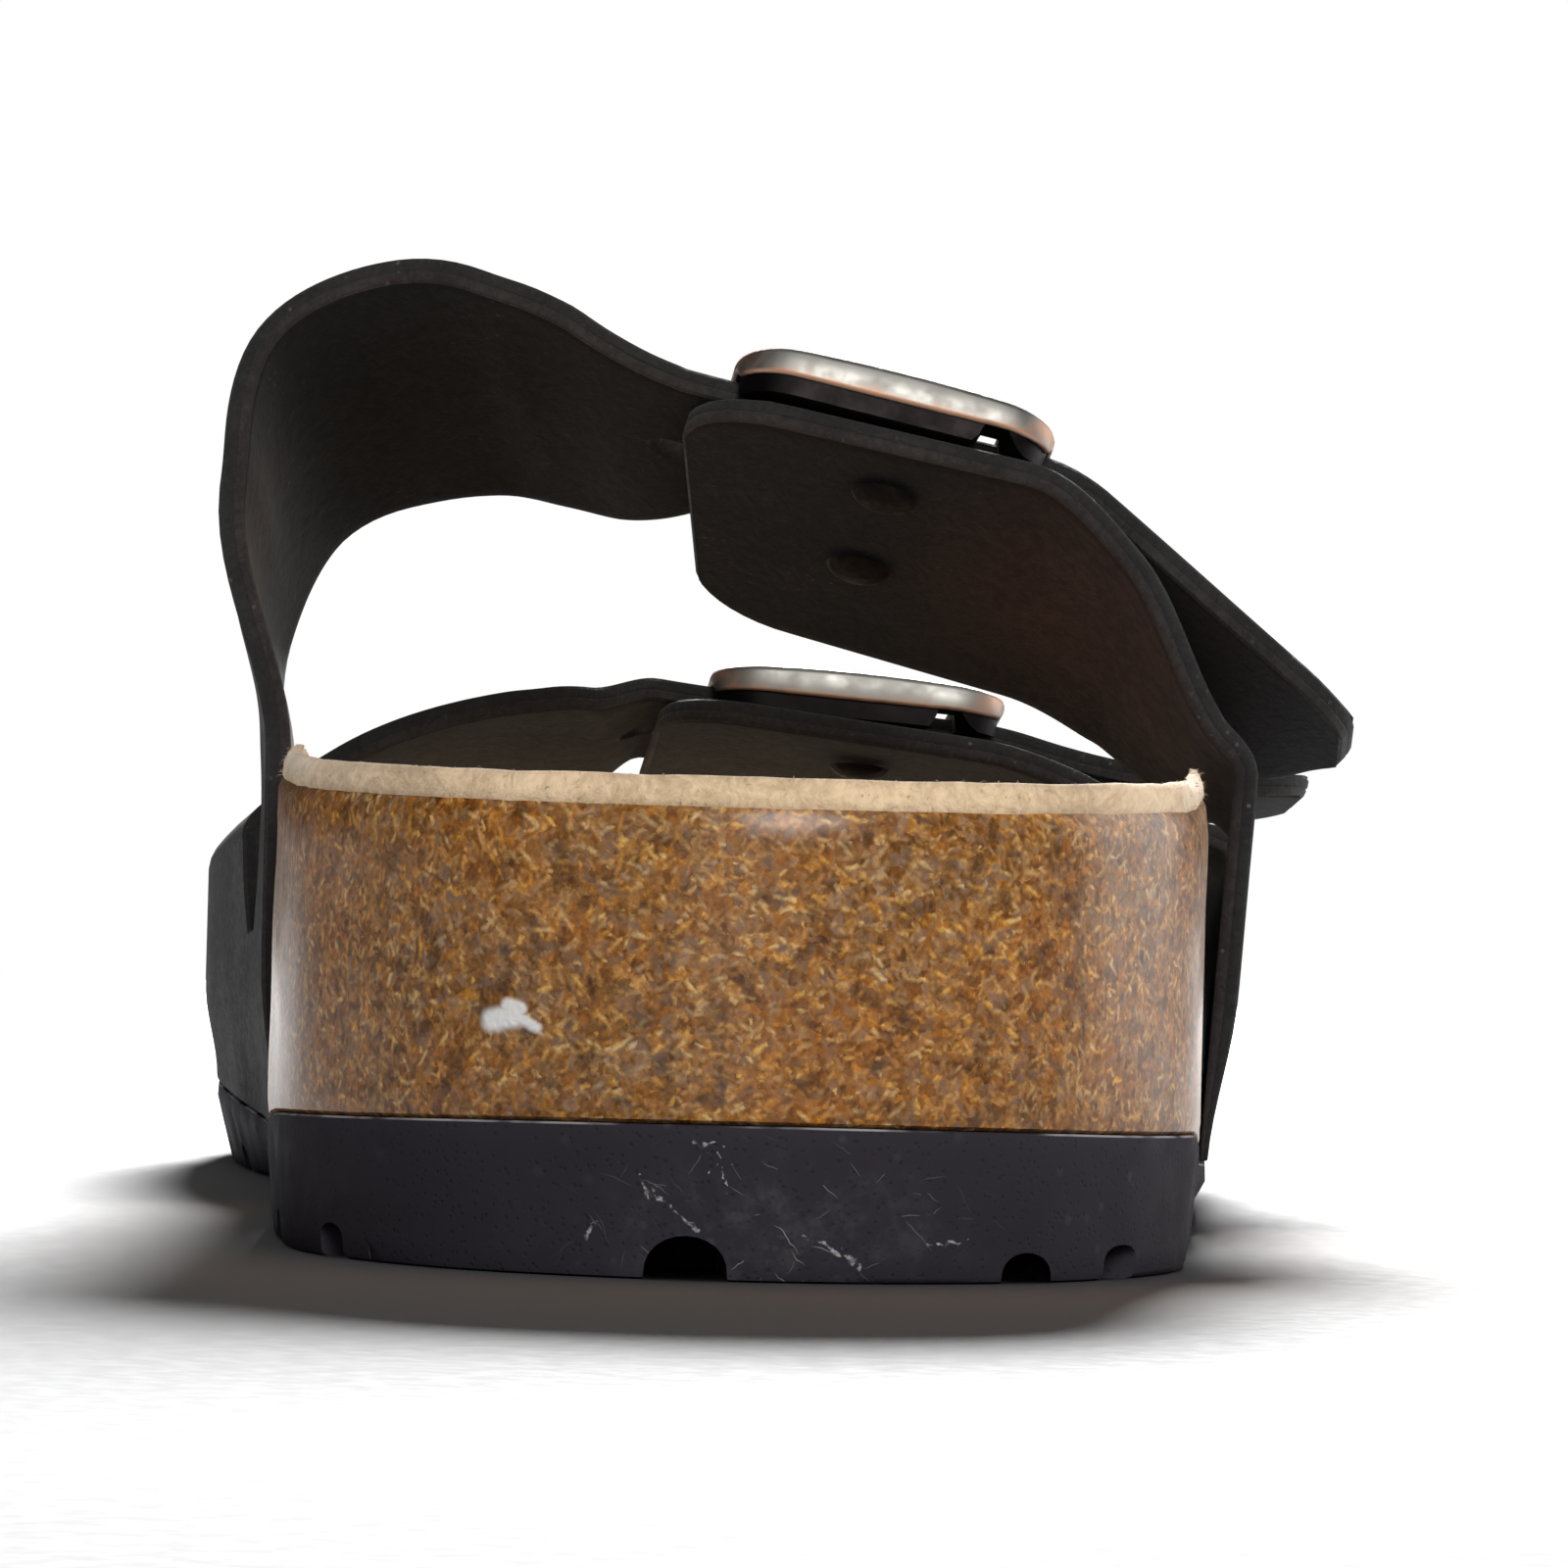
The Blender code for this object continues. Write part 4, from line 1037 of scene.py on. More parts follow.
def strap_suede_finish(colours):
    finish, wire, shader, place = new_finish("strap_suede", sheen_weight=0.05, specular_ior_level=0.1)
    nap = wire.group(shared("Nap"), {"Vector": place, "Fibre": 1100.0, "Patch": 48.0})
    colour = wire.mix(nap.outputs["Shade"], (0.0030, 0.0029, 0.0037, 1.0), opaque(colours.strap_suede))
    # Painted reflected light: a warm brown glow on the strap's inside at the outer bend, above the footbed,
    # mixed over the nap.
    bend = packed((31.0, 108.0, 47.0))
    away = wire.vector("MULTIPLY", wire.vector("SUBTRACT", place, tuple(bend)), (1.0, 0.55, 0.8))
    painted_bounce = wire.step(wire.vector("LENGTH", away), 0.021, 0.002)
    painted_bounce = wire.math("MULTIPLY", painted_bounce, wire.step(nap.outputs["Shade"], 0.0, 1.0, 0.5, 1.0))
    colour = wire.mix(painted_bounce, colour, (0.036, 0.0150, 0.0118, 1.0))
    leg = packed((-34.5, 100.0, 45.0))
    away = wire.vector("MULTIPLY", wire.vector("SUBTRACT", place, tuple(leg)), (1.0, 0.7, 0.6))
    colour = wire.mix(
        wire.step(wire.vector("LENGTH", away), 0.013, 0.002, 0.0, 0.7), colour, (0.027, 0.0120, 0.0098, 1.0),
    )
    dust = wire.group(shared("Dust"), {"Vector": place, "Size": 800.0, "Amount": 0.25})
    wire.feed(shader["Base Color"], wire.mix(dust.outputs["Mask"], colour, (0.15, 0.11, 0.08, 1.0)))
    wire.feed(shader["Roughness"], wire.step(nap.outputs["Shade"], 0.0, 1.0, 0.97, 0.85))
    wire.feed(shader["Normal"], wire.bump(nap.outputs["Height"], 0.55, 0.0003))
    return finish


def cut_edge_finish(colours):
    finish, wire, shader, place = new_finish("strap_cut_edge", sheen_weight=0.06, specular_ior_level=0.18)
    layer = wire.node("ShaderNodeAttribute", attribute_name="wall_height").outputs["Fac"]
    nap = wire.group(shared("Nap"), {"Vector": place, "Fibre": 1800.0, "Patch": 160.0})
    ragged = wire.math(
        "ADD", layer, wire.math("MULTIPLY", wire.math("SUBTRACT", nap.outputs["Height"], 0.7), 0.35),
    )
    outer = wire.step(ragged, 0.4, 0.56)
    inner = wire.mix(nap.outputs["Shade"], (0.015, 0.0125, 0.0122, 1.0), (0.029, 0.0250, 0.0242, 1.0))
    leather = wire.mix(nap.outputs["Shade"], (0.0135, 0.0125, 0.0125, 1.0), opaque(colours.cut_edge))
    colour = wire.mix(outer, inner, leather)
    dust = wire.group(shared("Dust"), {"Vector": place, "Size": 900.0, "Amount": 0.5})
    wire.feed(shader["Base Color"], wire.mix(dust.outputs["Mask"], colour, (0.20, 0.19, 0.17, 1.0)))
    wire.feed(shader["Roughness"], wire.step(nap.outputs["Shade"], 0.0, 1.0, 0.92, 0.74))
    wire.feed(shader["Normal"], wire.bump(nap.outputs["Height"], 0.7, 0.0003))
    return finish


def buckle_finish(colours):
    finish, wire, shader, place = new_finish("antique_copper", metallic=1.0)
    wear_and_shade = wire.node("ShaderNodeAttribute", attribute_name="wear_and_underside_shade").outputs["Fac"]
    cast = wire.noise(place, 420.0, 4.0, 0.6)
    bare = wire.math("ADD", wear_and_shade, wire.math("MULTIPLY", wire.math("SUBTRACT", cast, 0.5), 0.7))
    bare = wire.step(bare, 0.42, 0.85)
    tarnish = wire.step(wire.noise(place, 120.0, 3.0), 0.35, 0.7)
    plate = wire.mix(tarnish, opaque(colours.pewter), (0.245, 0.235, 0.212, 1.0))
    colour = wire.mix(bare, plate, opaque(colours.copper))
    # Painted shade: where the share is below zero, on the frame's underside and lower sides, the metal is
    # darkened to near black.
    colour = wire.mix(wire.step(wear_and_shade, -0.15, -0.75), colour, (0.012, 0.010, 0.010, 1.0))
    wire.feed(shader["Base Color"], colour)
    wire.feed(shader["Roughness"], wire.step(cast, 0.3, 0.7, 0.46, 0.62))
    wire.feed(shader["Normal"], wire.bump(cast, 0.05, 0.00012))
    return finish


def rivet_finish(colours):
    finish, wire, shader, place = new_finish("dark_lacquered_rivet", metallic=0.2, specular_ior_level=0.12)
    tarnish = wire.step(wire.noise(place, 520.0, 4.0), 0.36, 0.64)
    wire.feed(
        shader["Base Color"], wire.mix(tarnish, (0.0085, 0.0068, 0.0066, 1.0), (0.0042, 0.0037, 0.0040, 1.0)),
    )
    wire.feed(shader["Roughness"], wire.step(tarnish, 0.0, 1.0, 0.6, 0.8))
    wire.feed(shader["Normal"], wire.bump(tarnish, 0.25, 0.00012))
    return finish


def floor_finish(colours):
    finish, wire, shader, place = new_finish("studio_paper", specular_ior_level=0.15)
    tooth = wire.noise(place, 500.0, 3.0)
    wire.feed(shader["Base Color"], wire.mix(tooth, opaque(colours.paper), (0.88, 0.88, 0.885, 1.0)))
    wire.feed(shader["Roughness"], wire.step(tooth, 0.3, 0.7, 0.8, 0.9))
    return finish


# Sole pieces

def uneven(loop, seed, scale, amount):
    """Moves a loop's points in and out and up and down by a little soft unevenness."""
    moved = loop.copy()
    for here, point in enumerate(loop):
        away = Vector(point) * scale + Vector((seed, 2 * seed, 0.0))
        push = noise.noise(away) * amount
        moved[here, :2] += PRINT_OUT[here] * push
        moved[here, 2] += noise.noise(away + Vector((9.1, 3.7, 5.3))) * amount
    return moved


def groove(bm, route, sideways, width, depth, shoulder):
    """Cutter along a route on the underside, arched above its shoulder height."""
    below = 3.0
    roof = [(-width / 2, -below)]
    for step in range(13):
        turn = math.pi * step / 12
        roof.append((-width / 2 * math.cos(turn), shoulder + (depth - shoulder) * math.sin(turn) ** 0.8))
    roof.append((width / 2, -below))
    rows = [
        [Vector(point) + side * sideways + Vector((0.0, 0.0, rise)) for side, rise in roof] for point in route
    ]
    tube_rows(bm, rows)


def tread_cutters():
    bm = bmesh.new()
    half_span, steps = 2 * GROOVE_WAVELENGTH, 73
    for middle in np.arange(GROOVE_START, OUTLINE[-1, 0] - GROOVE_START, GROOVE_PITCH):
        floor = float(underside(0.0, middle, 0.0))
        route = []
        for x in np.linspace(-half_span, half_span, steps):
            swing = GROOVE_WAVE * math.sin(2 * math.pi * x / GROOVE_WAVELENGTH)
            route.append((x, middle + swing, floor))
        groove(bm, route, Vector((0.0, 1.0, 0.0)), GROOVE_WIDTH, GROOVE_DEPTH, GROOVE_SHOULDER * GROOVE_DEPTH)
    return bm


def notch_cutters():
    bm = bmesh.new()
    behind = -10.0
    for x, width, depth in HEEL_NOTCHES:
        route = ((x, behind, 0.0), (x, GROOVE_START - GROOVE_WAVE, 0.0))
        groove(bm, route, Vector((1.0, 0.0, 0.0)), width, depth, 0.2)
    return bm


class SANDAL_OT_outsole(bpy.types.Operator):
    """Foam outsole with its tread grooves and heel notches"""

    bl_idname = "sandal.outsole"
    bl_label = "Outsole"

    def execute(self, context):
        y = PRINT[:, 1]
        start, end = LEDGE_RANGE
        ledge = STRAP_LEDGE * ease((y - start) / LEDGE_FADE) * ease((end - y) / LEDGE_FADE)
        foot = ring(1.0, underside, SOLE_UNDERCUT + SOLE_EDGE)
        side = ring(1.0, underside, SOLE_UNDERCUT, SOLE_EDGE)
        top = ring(1.0, seam, -ledge, -SEAM_BEVEL)
        wall = [side] + between(side, top, 6) + [top]
        rings = [ring(share, underside) for share in (0.0, 0.3, 0.6, 0.85)]
        rings += [foot, ring(1.0, underside, SOLE_UNDERCUT + 0.15, 0.15)]
        rings += [uneven(loop, 2.0, 0.22, 0.09) for loop in wall]
        rings += [ring(1.0, seam, -ledge, -0.3), ring(1.0, seam, 0.05 - ledge, -0.08)]
        # Top-edge loops that carry the painted highlight line.
        highlight_loops = (len(rings) - 1, len(rings))
        rings += [ring(1.0, seam, 0.2 - ledge)] + [ring(share, seam) for share in (0.97, 0.7, 0.35, 0.0)]
        finish = foam_finish(context.scene.sandal_colours)
        mesh = body_of_rings("foam_outsole", rings, highlight_loops=highlight_loops)
        piece = add_piece("foam_outsole", mesh, [finish], "outsole_foam", "outsole")
        cut(piece, tread_cutters())
        cut(piece, notch_cutters())
        return {"FINISHED"}


class SANDAL_OT_cork(bpy.types.Operator):
    """Pressed cork footbed under clear lacquer"""

    bl_idname = "sandal.cork"
    bl_label = "Cork footbed"

    def execute(self, context):
        under_lining = -LINING - TIGHT
        pit = context.scene.sandal_sizes.cork_pit / MM
        foot = ring(1.0, seam, 0.0, SEAM_BEVEL)
        rim = ring(1.0, bed, 0.0, under_lining - RIM_BEVEL)
        wall = [foot] + between(foot, rim, 22) + [rim]
        rings = [ring(0.0, seam, rise=TIGHT), ring(0.5, seam, rise=TIGHT), ring(1.0, seam, SEAM_INSET, TIGHT)]
        rings += [ring(1.0, seam, 0.1, 0.3), ring(1.0, seam, 0.02, 0.7)]
        rings += [uneven(loop, 5.0, 0.12, pit) for loop in wall]
        rings += [ring(1.0, bed, 0.1, under_lining - 0.8), ring(1.0, bed, RIM_INSET, under_lining)]
        rings += [ring(share, bed, rise=under_lining) for share in (0.93, 0.84, 0.72, 0.55, 0.3, 0.0)]
        finish = cork_finish(context.scene.sandal_colours)
        add_piece("cork_body", body_of_rings("cork_body", rings), [finish], "cork", "cork_footbed")
        return {"FINISHED"}


class SANDAL_OT_lining(bpy.types.Operator):
    """Tan suede lining with its uneven cut edge and fibres"""

    bl_idname = "sandal.lining"
    bl_label = "Lining"

    def execute(self, context):
        sizes = context.scene.sandal_sizes
        wave = sizes.lining_wave / MM
        shares = (0.97, 0.93, 0.88, 0.82, 0.75, 0.66, 0.56, 0.45, 0.33, 0.2, 0.1, 0.0)
        low = ring(1.0, bed, RIM_INSET, -LINING)
        edge = [low, ring(1.0, bed, 0.36, -LINING + 0.25), ring(1.0, bed, 0.44, -LINING + 1.0)]
        edge += [ring(1.0, bed, 0.68, -0.45), ring(1.0, bed, 0.95, -0.08), ring(1.0, bed, 1.35)]
        rings = [ring(share, bed, rise=-LINING) for share in reversed(shares)]
        rings += [uneven(loop, 1.0, 0.4, wave) for loop in edge]
        rings += [ring(share, bed) for share in shares]
        finish = lining_finish(context.scene.sandal_colours)
        add_piece(
            "suede_lining",
            body_of_rings("suede_lining", rings, 60.0),
            [finish],
            "suede_lining",
            "insole_lining",
        )
        self.fibres(sizes, edge, finish)
        return {"FINISHED"}

    def fibres(self, sizes, edge, finish):
        """Short fibres that stand out of the lining's cut edge."""
        chance = np.random.default_rng(7)
        band = edge[1:]
        bm = bmesh.new()
        count = len(PRINT)
        for number in range(sizes.fuzz):
            at = chance.uniform(0, count)
            here = int(at)
            share = at - here
            row = int(chance.integers(0, len(band)))
            root = band[row][here] * (1 - share) + band[row][(here + 1) % count] * share
            out = Vector((*PRINT_OUT[here], chance.uniform(-0.3, 0.7)))
            side = Vector((-PRINT_OUT[here][1], PRINT_OUT[here][0], chance.uniform(-0.5, 0.5)))
            reach = sizes.fuzz_length / MM * chance.uniform(0.25, 1.0) ** 2
            lean = (out + side * chance.uniform(-1.2, 1.2)).normalized() * reach
            width = side.normalized() * 0.035
            root = Vector(root) - out.normalized() * 0.1
            middle = root + lean * 0.6
            tip = root + lean + Vector((0.0, 0.0, -0.25 * reach))
            points = (root - width, root + width, middle + width, middle - width, tip)
            verts = [bm.verts.new(packed(point)) for point in points]
            bm.faces.new(verts[:4])
            bm.faces.new((verts[3], verts[2], verts[4]))
        mesh = bpy.data.meshes.new("lining_fibres")
        bm.to_mesh(mesh)
        bm.free()
        add_piece("lining_fibres", mesh, [finish], "suede_lining")


# Straps

def leather_sheet(name, edges_of, web, girths, place, end_distance, end_round):
    """Closed leather wall with soft cut edges: two arms that are joined below the web's level."""
    cells, spots = [], {}
    previous = None
    order = np.argsort(edges_of[:, 0])
    for row, girth in enumerate(girths):
        edges = smooth(edges_of[order, 0], edges_of[order, 1:], min(girth, edges_of[:, 0].max()))
        insets = [rounded(end_distance(girth), radius) for radius in end_round]
        back, front = edges[0::2] + insets[0], edges[1::2] - insets[1]
        rear_arm = np.linspace(back[0], front[0], ARM_COLUMNS + 1)
        front_arm = np.linspace(back[1], front[1], ARM_COLUMNS + 1)
        footward = (girth - web) * (web - LAST_POINT / 2)
        joined = footward >= -1e-6
        gap = np.linspace(front[0], back[1], WEB_COLUMNS + 1)[1:-1]
        ys = np.concatenate((rear_arm, gap, front_arm))
        for column, y in enumerate(ys):
            in_gap = ARM_COLUMNS < column < ARM_COLUMNS + WEB_COLUMNS
            if joined or not in_gap:
                spots[row, column] = place(girth, y)
        for column in range(len(ys) - 1):
            in_web = ARM_COLUMNS <= column < ARM_COLUMNS + WEB_COLUMNS
            if previous is not None and (not in_web or (joined and previous)):
                cells.append(((row - 1, column), (row - 1, column + 1), (row, column + 1), (row, column)))
        previous = joined

    sides = {}
    for cell in cells:
        for pair in zip(cell, cell[1:] + cell[:1]):
            sides.setdefault(frozenset(pair), []).append(pair)
    rim = [pairs[0] for pairs in sides.values() if len(pairs) == 1]
    after = dict(rim)
    before = {end: start for start, end in rim}
    outward = {}
    for key in after:
        base, out = spots[key]
        tangent = spots[after[key]][0] - spots[before[key]][0]
        outward[key] = out.cross(tangent).normalized()

    bm = bmesh.new()
    height = bm.verts.layers.float.new("wall_height")

    def vert(key, up, draw):
        base, out = spots[key]
        girth = girths[key[0]]
        near_foot = float(ease(1 - min(girth, LAST_POINT - girth) / FOOT_RANGE))
        point = base + out * up * (1 - near_foot * FOOT_TAPER / LEATHER)
        if key in outward:
            point = point - outward[key] * draw * (1 - 0.6 * near_foot)
        made = bm.verts.new(packed(point))
        made[height] = up / LEATHER
        return made

    used = sorted({key for cell in cells for key in cell})
    layers = []
    for number, (up, draw) in enumerate(EDGE_PROFILE):
        on_skin = number in (0, len(EDGE_PROFILE) - 1)
        layers.append({key: vert(key, up, draw) for key in used if on_skin or key in outward})
    for index, layer in ((0, layers[0]), (1, layers[-1])):
        for cell in cells:
            bm.faces.new([layer[key] for key in cell]).material_index = index
    for low, high in zip(layers, layers[1:]):
        for start, end in rim:
            bm.faces.new((low[start], low[end], high[end], high[start])).material_index = 2
    return mesh_from(name, bm, 62.0)


def strap_hole_cutters():
    """Punched holes in each inner arm, the prong's own hole among them."""
    bm = bmesh.new()
    for which, y in BUCKLES.items():
        at_prong = buckle_axes(which) @ Vector((PRONG_OFFSET, 0.0, 0.0))
        flap_end = inside(FLAP, y)
        per_mm = 1 / (inside(FLAP + 1, y) - flap_end).length
        pitch_girth = HOLE_PITCH * per_mm
        girth = FLAP + (at_prong - flap_end).length * per_mm
        for step in HOLE_STEPS:
            across, along, out = directions(girth + step * pitch_girth, y)
            centre = inside(girth + step * pitch_girth, y) + out * 2 * LEATHER
            turns = [2 * math.pi * part / HOLE_SIDES for part in range(HOLE_SIDES)]
            rows = []
            for up in (-2 * LEATHER, 2 * LEATHER):
                rows.append([
                    centre + out * up + (across * math.cos(turn) + along * math.sin(turn)) * PRONG_HOLE / 2
                    for turn in turns
                ])
            tube_rows(bm, rows)
    return bm


class SANDAL_OT_straps(bpy.types.Operator):
    """Inner and outer leather pieces with their two arms each"""

    bl_idname = "sandal.straps"
    bl_label = "Straps"

    def execute(self, context):
        colours = context.scene.sandal_colours
        deep = context.scene.sandal_sizes.crease
        finishes = [strap_suede_finish(colours), nubuck_finish(colours), cut_edge_finish(colours)]
        self.medial(finishes, deep)
        self.lateral(finishes, deep)
        return {"FINISHED"}

    def medial(self, finishes, deep):
        tail_end = TAIL_LEAVES + 1.0
        girths = list(np.linspace(0.0, WEB_MEDIAL, 12)) + list(np.arange(0.7, TAIL_LEAVES, 0.08))
        girths += list(TAIL_LEAVES + np.linspace(0.0, 0.62, 12))
        girths += [tail_end - step / TAIL_LENGTH for step in reversed(END_STEPS)]

        def to_end(girth):
            return (tail_end - girth) * TAIL_LENGTH

        def place(girth, y):
            return medial_point(girth, y, deep)

        mesh = leather_sheet("inner_strap", MEDIAL_CUT, WEB_MEDIAL, girths, place, to_end, TAIL_ROUND)
        piece = add_piece("inner_strap", mesh, finishes, "strap_leather", "upper_medial")
        cut(piece, strap_hole_cutters(), 2)

    def lateral(self, finishes, deep):
        reach = (inside(FLAP + 1, BUCKLES["rear"]) - inside(FLAP, BUCKLES["rear"])).length
        girths = [FLAP + step / reach for step in END_STEPS] + list(
            np.arange(FLAP + 0.38, WEB_LATERAL - 0.03, 0.07)
        )
        girths += list(np.linspace(WEB_LATERAL, LAST_POINT, 12))

        def to_end(girth):
            return (girth - FLAP) * reach

        def place(girth, y):
            return lateral_point(girth, y, deep)

        mesh = leather_sheet("outer_strap", LATERAL_CUT, WEB_LATERAL, girths, place, to_end, FLAP_ROUND)
        add_piece("outer_strap", mesh, finishes, "strap_leather", "upper_lateral")


# Buckles

def buckle_axes(which):
    """Place and turn of a buckle: u across the shoe, v along it, w away from the flap's outer face."""
    reach, half = 0.35, FRAME_WIDTH / 2 - 2
    girth, y = BUCKLE_GIRTH[which], BUCKLES[which]
    u = inside(girth + reach, y) - inside(girth - reach, y)
    v = inside(girth, y + half) - inside(girth, y - half)
    w = u.cross(v).normalized()
    u.normalize()
    v = w.cross(u)
    seat = inside(girth, y) + w * LEATHER
    turn = Matrix((u, v, w)).transposed().to_4x4()
    return Matrix.Translation(seat) @ turn


def frame_route(steps):
    """Points round the buckle: place on the bar's middle line, outward direction, share of an end bar."""
    length, width = FRAME_LENGTH, FRAME_WIDTH
    stops = []
    for quarter, (sx, sy) in enumerate(((1, 1), (-1, 1), (-1, -1), (1, -1))):
        centre = Vector((sx * (length / 2 - FRAME_CORNER), sy * (width / 2 - FRAME_CORNER), 0.0))
        for step in range(9):
            turn = math.pi / 2 * (quarter + step / 8)
            stops.append((centre, Vector((math.cos(turn), math.sin(turn), 0.0))))
    route = []
    for (centre, out), (next_centre, next_out) in zip(stops, stops[1:] + stops[:1]):
        parts = steps if (next_centre - centre).length > 1e-6 else 1
        for part in range(parts):
            share = part / parts
            route.append((centre.lerp(next_centre, share), out.lerp(next_out, share).normalized()))
    return route


class SANDAL_OT_buckles(bpy.types.Operator):
    """Cast buckle frames, prongs and rivet heads"""

    bl_idname = "sandal.buckles"
    bl_label = "Buckles"

    def execute(self, context):
        colours = context.scene.sandal_colours
        metal, brass = buckle_finish(colours), rivet_finish(colours)
        for which in BUCKLES:
            axes = buckle_axes(which)
            self.frame(which, axes, metal)
            self.prong(which, axes, metal)
            self.rivets(which, axes, brass)
        return {"FINISHED"}

    def frame(self, which, axes, metal):
        """Bars across the strap bridge it, slotted bars along it stand on the flap; the face is crowned."""
        strap_top = LEATHER + GAP + FRAME_SEAT
        bm = bmesh.new()
        wear_and_underside_shade = bm.verts.layers.float.new("wear_and_underside_shade")
        rows, wear_and_shade = [], []
        for centre, out in frame_route(FRAME_STEPS):
            end = abs(out.x) ** 1.5
            broad = SIDE_BAR + (END_BAR - SIDE_BAR) * float(ease(end))
            edge = centre + out * FRAME_CORNER
            droop = 0.55 * (edge.x / (FRAME_LENGTH / 2)) ** 2
            top = strap_top + BAR_THICK - droop
            notch = float(ease(1.35 - abs(edge.y) / (PRONG_NOTCH / 2))) if edge.x < -FRAME_LENGTH / 3 else 0.0
            top -= NOTCH_DEPTH * notch
            between_bars = abs(edge.y) < FRAME_WIDTH / 2 - SIDE_BAR
            across_bar = float(ease((abs(out.x) - 0.55) / 0.4)) if between_bars else 0.0
            slot_end = FRAME_LENGTH / 2 - FRAME_FOOT
            slot = float(ease((slot_end - edge.x) / 0.5) * ease((edge.x - slot_end + FRAME_SLOT) / 0.5))
            low = FRAME_SEAT + (SLOT_TOP - FRAME_SEAT) * slot
            low += (strap_top - low) * across_bar
            ledge = max(low + 0.03, SLOT_TOP)
            tip = 0.7 * float(ease((abs(edge.x) - 8.0) / 5.0))
            # Third number of each point: above zero, bare copper where edges wear; below zero, painted shade
            # on the underside and lower sides.
            profile = [
                (0.45, low, -1.0), (0.4, ledge - 0.02, -1.0), (0.1, ledge + 0.05, 1.0), (
                    0.0, ledge + 0.35, 0.55,
                ),
                (0.0, top - 0.6, 0.05 + tip), (0.16, top - 0.22, 0.1 + tip), (0.55, top - 0.05, 0.0),
                (broad * 0.5, top, 0.0), (broad - 0.6, top - 0.02, 0.2), (broad - 0.2, top - 0.2, 0.5),
                (broad, top - 0.6, 0.2), (broad, low + 0.3, -0.4), (broad - 0.35, low, -1.0),
            ]
            rows.append(
                [axes @ (edge - out * inset + Vector((0.0, 0.0, up))) for inset, up, share in profile]
            )
            wear_and_shade.append([share for inset, up, share in profile])
        rings = tube_rows(bm, rows, looped=True)
        for ring_verts, shares in zip(rings, wear_and_shade):
            for vert, share in zip(ring_verts, shares):
                vert[wear_and_underside_shade] = share
        name = "buckle_" + which
        mesh = mesh_from(name, bm, 70.0)
        add_piece(name, mesh, [metal], "buckle_metal", "buckle_frame_" + which)

    def prong(self, which, axes, metal):
        """Bent pin that comes up through the strap and rests in the notch of the frame."""
        wire = PRONG_WIRE / 2
        strap_top = LEATHER + GAP
        tip = strap_top + FRAME_SEAT + BAR_THICK - NOTCH_DEPTH + GAP + wire
        end = -FRAME_LENGTH / 2
        stops = np.array((
            (PRONG_OFFSET, GAP), (PRONG_OFFSET, strap_top + 0.1), (PRONG_OFFSET - 0.5, strap_top + 0.9),
            (PRONG_OFFSET - 2.0, strap_top + 1.35), (end + END_BAR + 1.0, tip), (end + 1.3, tip), (
                end + 0.8, tip - 0.05,
            ),
        ))
        knots = np.concatenate(((0.0,), np.cumsum(np.linalg.norm(np.diff(stops, axis=0), axis=1))))
        route = smooth(knots, stops, np.linspace(0.0, knots[-1], 40))
        rows = []
        for here, (u, w) in enumerate(route):
            ahead = route[min(here + 1, len(route) - 1)] - route[max(here - 1, 0)]
            along = Vector((ahead[0], 0.0, ahead[1])).normalized()
            side = Vector((0.0, 1.0, 0.0))
            lift = along.cross(side)
            left = len(route) - 1 - here
            thick = wire * (1.0 - 0.32 * max(0.0, 1 - left / 5) ** 2)
            turns = [2 * math.pi * part / PRONG_SIDES for part in range(PRONG_SIDES)]
            rows.append([
                axes @ (Vector((u, 0.0, w)) + (side * math.cos(turn) + lift * math.sin(turn)) * thick)
                for turn in turns
            ])
        bm = bmesh.new()
        wear_and_underside_shade = bm.verts.layers.float.new("wear_and_underside_shade")
        for number, loop in enumerate(tube_rows(bm, rows)):
            for vert in loop:
                vert[wear_and_underside_shade] = 0.25 + 0.5 * (number / len(rows)) ** 3
        name = "prong_" + which
        add_piece(name, mesh_from(name, bm), [metal], "buckle_metal", "buckle_prong_" + which)

    def rivets(self, which, axes, brass):
        """Domed heads on the lining side of the flap."""
        for number, side in enumerate((-1, 1), start=1):
            centre = Vector((PRONG_OFFSET, side * RIVET_SPREAD / 2, -LEATHER - FRAME_SEAT))
            turns = [2 * math.pi * part / RIVET_SIDES for part in range(RIVET_SIDES)]
            rows = []
            for radius, up in RIVET_PROFILE:
                rows.append([
                    axes @ (centre + Vector((radius * math.cos(turn), radius * math.sin(turn), -up)))
                    for turn in turns
                ])
            bm = bmesh.new()
            tube_rows(bm, rows, capped=False)
            bmesh.ops.remove_doubles(bm, verts=bm.verts, dist=WELD)
            name = "rivet_head_{}_{}".format(which, number)
            node = "rivet_{}_{}".format(which, number)
            add_piece(name, mesh_from(name, bm), [brass], "buckle_metal", node)


# Studio

def soft_light(name, place, size, power, lit=None):
    """Round soft light on the shoe, for the lit collection alone where one is given."""
    data = bpy.data.lights.new(name, "AREA")
    data.shape = "DISK"
    data.size = size
    data.energy = power
    light = bpy.data.objects.new(name, data)
    light.location = place
    light.rotation_euler = (Vector(LIGHT_TARGET) - Vector(place)).to_track_quat("-Z", "Y").to_euler()
    light.visible_camera = False
    light.light_linking.receiver_collection = lit
    bpy.context.scene.collection.objects.link(light)


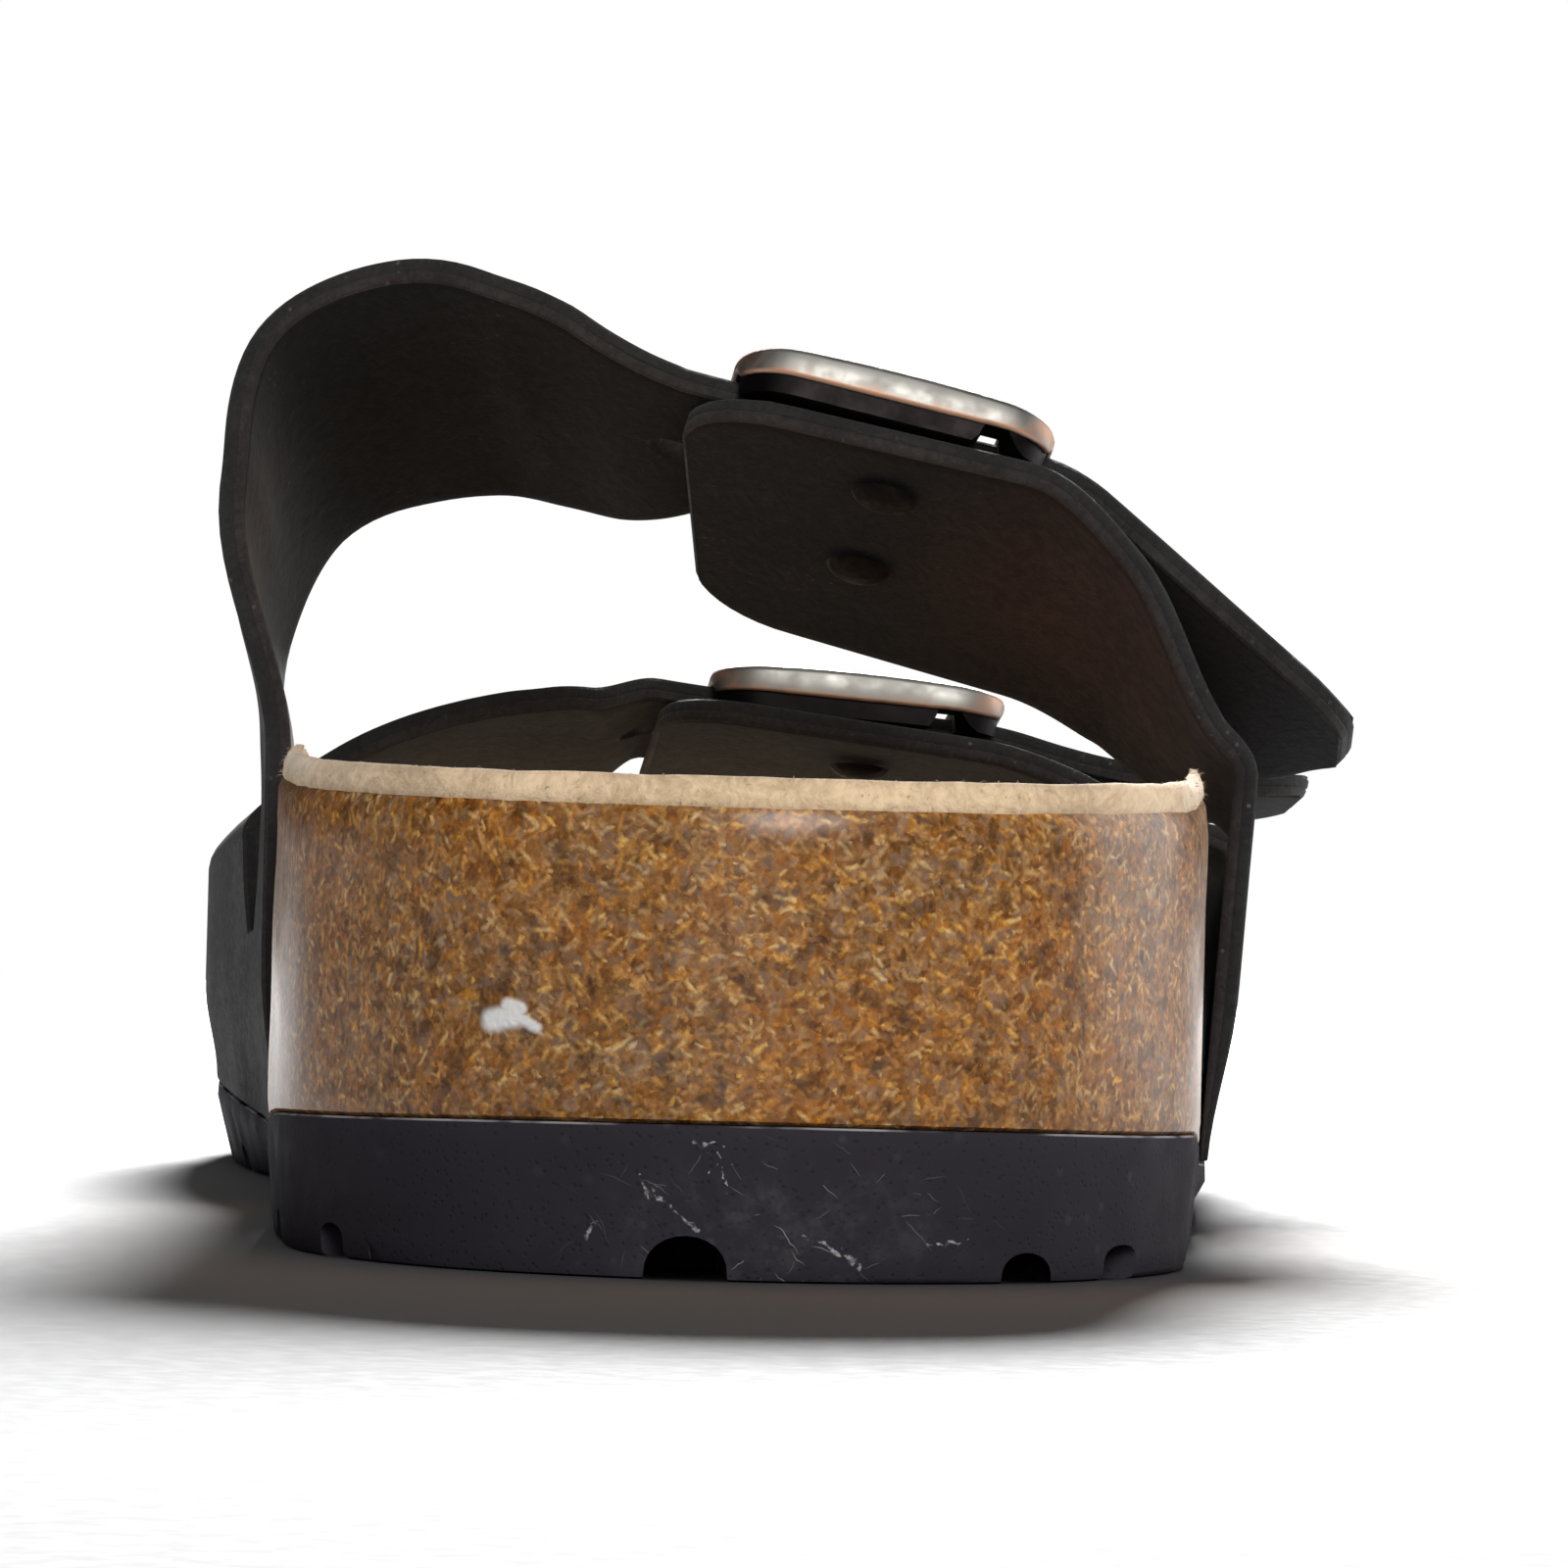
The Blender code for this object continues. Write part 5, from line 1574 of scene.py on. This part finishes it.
class SANDAL_OT_stage(bpy.types.Operator):
    """Pale floor, soft light and the photo's low camera behind the heel"""

    bl_idname = "sandal.stage"
    bl_label = "Stage"

    def execute(self, context):
        scene = context.scene
        stage = scene.sandal_stage
        self.floor(scene)
        self.sky(scene, stage.sky)
        soft_light("top_light", (0.0, 0.1, 1.6), 1.6, stage.top_power)
        soft_light("rear_light", (0.15, 1.7, 0.85), 0.5, stage.rear_power)
        shoe = bpy.data.collections.new("lit_shoe")
        for piece in PIECES:
            shoe.objects.link(piece)
        soft_light("fill_light", (0.3, -1.6, 1.0), 0.9, stage.fill_power, shoe)
        soft_light("low_panel", (-0.3, -1.9, 0.3), 0.9, stage.panel_power, shoe)
        soft_light("outer_side_light", (1.5, 0.7, 0.45), 1.3, stage.side_power, shoe)
        soft_light("inner_side_light", (-1.3, -1.2, 0.45), 1.0, stage.side_power / 12, shoe)
        self.camera(scene, stage)
        scene.view_settings.view_transform = "Standard"
        return {"FINISHED"}

    def floor(self, scene):
        """Pale paper, flat under the shoe and out to the white surroundings."""
        bm = bmesh.new()
        bmesh.ops.create_circle(bm, cap_ends=True, segments=96, radius=FLOOR_RADIUS)
        floor = bpy.data.objects.new("studio_floor", mesh_from("studio_floor", bm))
        floor.data.materials.append(floor_finish(scene.sandal_colours))
        scene.collection.objects.link(floor)
        floor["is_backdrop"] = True

    def sky(self, scene, strength):
        world = bpy.data.worlds.new("studio_sky")
        world.use_nodes = True
        wire = Wiring(world.node_tree)
        back = world.node_tree.nodes["Background"]
        back.inputs["Color"].default_value = (1.0, 1.0, 1.0, 1.0)
        seen = wire.node("ShaderNodeLightPath").outputs["Is Camera Ray"]
        wire.feed(back.inputs["Strength"], wire.math("MULTIPLY_ADD", seen, 1.0 - strength, strength))
        scene.world = world

    def camera(self, scene, stage):
        """Low behind the heel, aimed at the shoe's middle, with the photo's roll."""
        data = bpy.data.cameras.new("photo_camera")
        data.sensor_width = 36.0
        data.lens = stage.lens
        data.clip_start = 0.02
        camera = bpy.data.objects.new("photo_camera", data)
        place = packed(CAMERA_PLACE)
        forward = Vector(CAMERA_FORWARD).normalized()
        right = forward.cross(Vector((0.0, 0.0, 1.0))).normalized()
        up = right.cross(forward)
        turn = stage.roll
        right, up = right * math.cos(turn) + up * math.sin(turn), up * math.cos(turn) - right * math.sin(turn)
        pose = Matrix((right, up, -forward)).transposed().to_4x4()
        pose.translation = place
        camera.matrix_world = pose
        scene.collection.objects.link(camera)
        scene.camera = camera


class SANDAL_PT_panel(bpy.types.Panel):
    """Pieces of the sandal and their sizes, colours and stage"""

    bl_idname = "SANDAL_PT_panel"
    bl_label = "Sandal"
    bl_space_type = "VIEW_3D"
    bl_region_type = "UI"
    bl_category = "Sandal"

    def draw(self, context):
        for operator in OPERATORS:
            self.layout.operator(operator.bl_idname)
        for holder in (context.scene.sandal_sizes, context.scene.sandal_colours, context.scene.sandal_stage):
            box = self.layout.box()
            for name in holder.__annotations__:
                box.prop(holder, name)


OPERATORS = (
    SANDAL_OT_outsole, SANDAL_OT_cork, SANDAL_OT_lining, SANDAL_OT_straps, SANDAL_OT_buckles, SANDAL_OT_stage,
)
CLASSES = (SandalSizes, SandalColours, SandalStage, *OPERATORS, SANDAL_PT_panel)


def register():
    for made in CLASSES:
        bpy.utils.register_class(made)
    bpy.types.Scene.sandal_sizes = PointerProperty(type=SandalSizes)
    bpy.types.Scene.sandal_colours = PointerProperty(type=SandalColours)
    bpy.types.Scene.sandal_stage = PointerProperty(type=SandalStage)


def unregister():
    del bpy.types.Scene.sandal_stage
    del bpy.types.Scene.sandal_colours
    del bpy.types.Scene.sandal_sizes
    for made in reversed(CLASSES):
        bpy.utils.unregister_class(made)


def main():
    register()
    bpy.ops.sandal.outsole()
    bpy.ops.sandal.cork()
    bpy.ops.sandal.lining()
    bpy.ops.sandal.straps()
    bpy.ops.sandal.buckles()
    bpy.ops.sandal.stage()
    boxes = {"cad": CAD_BOX, "visual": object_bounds()}
    {name: [list(corner) for corner in box] for name, box in boxes.items()}


if __name__ == "__main__":
    main()
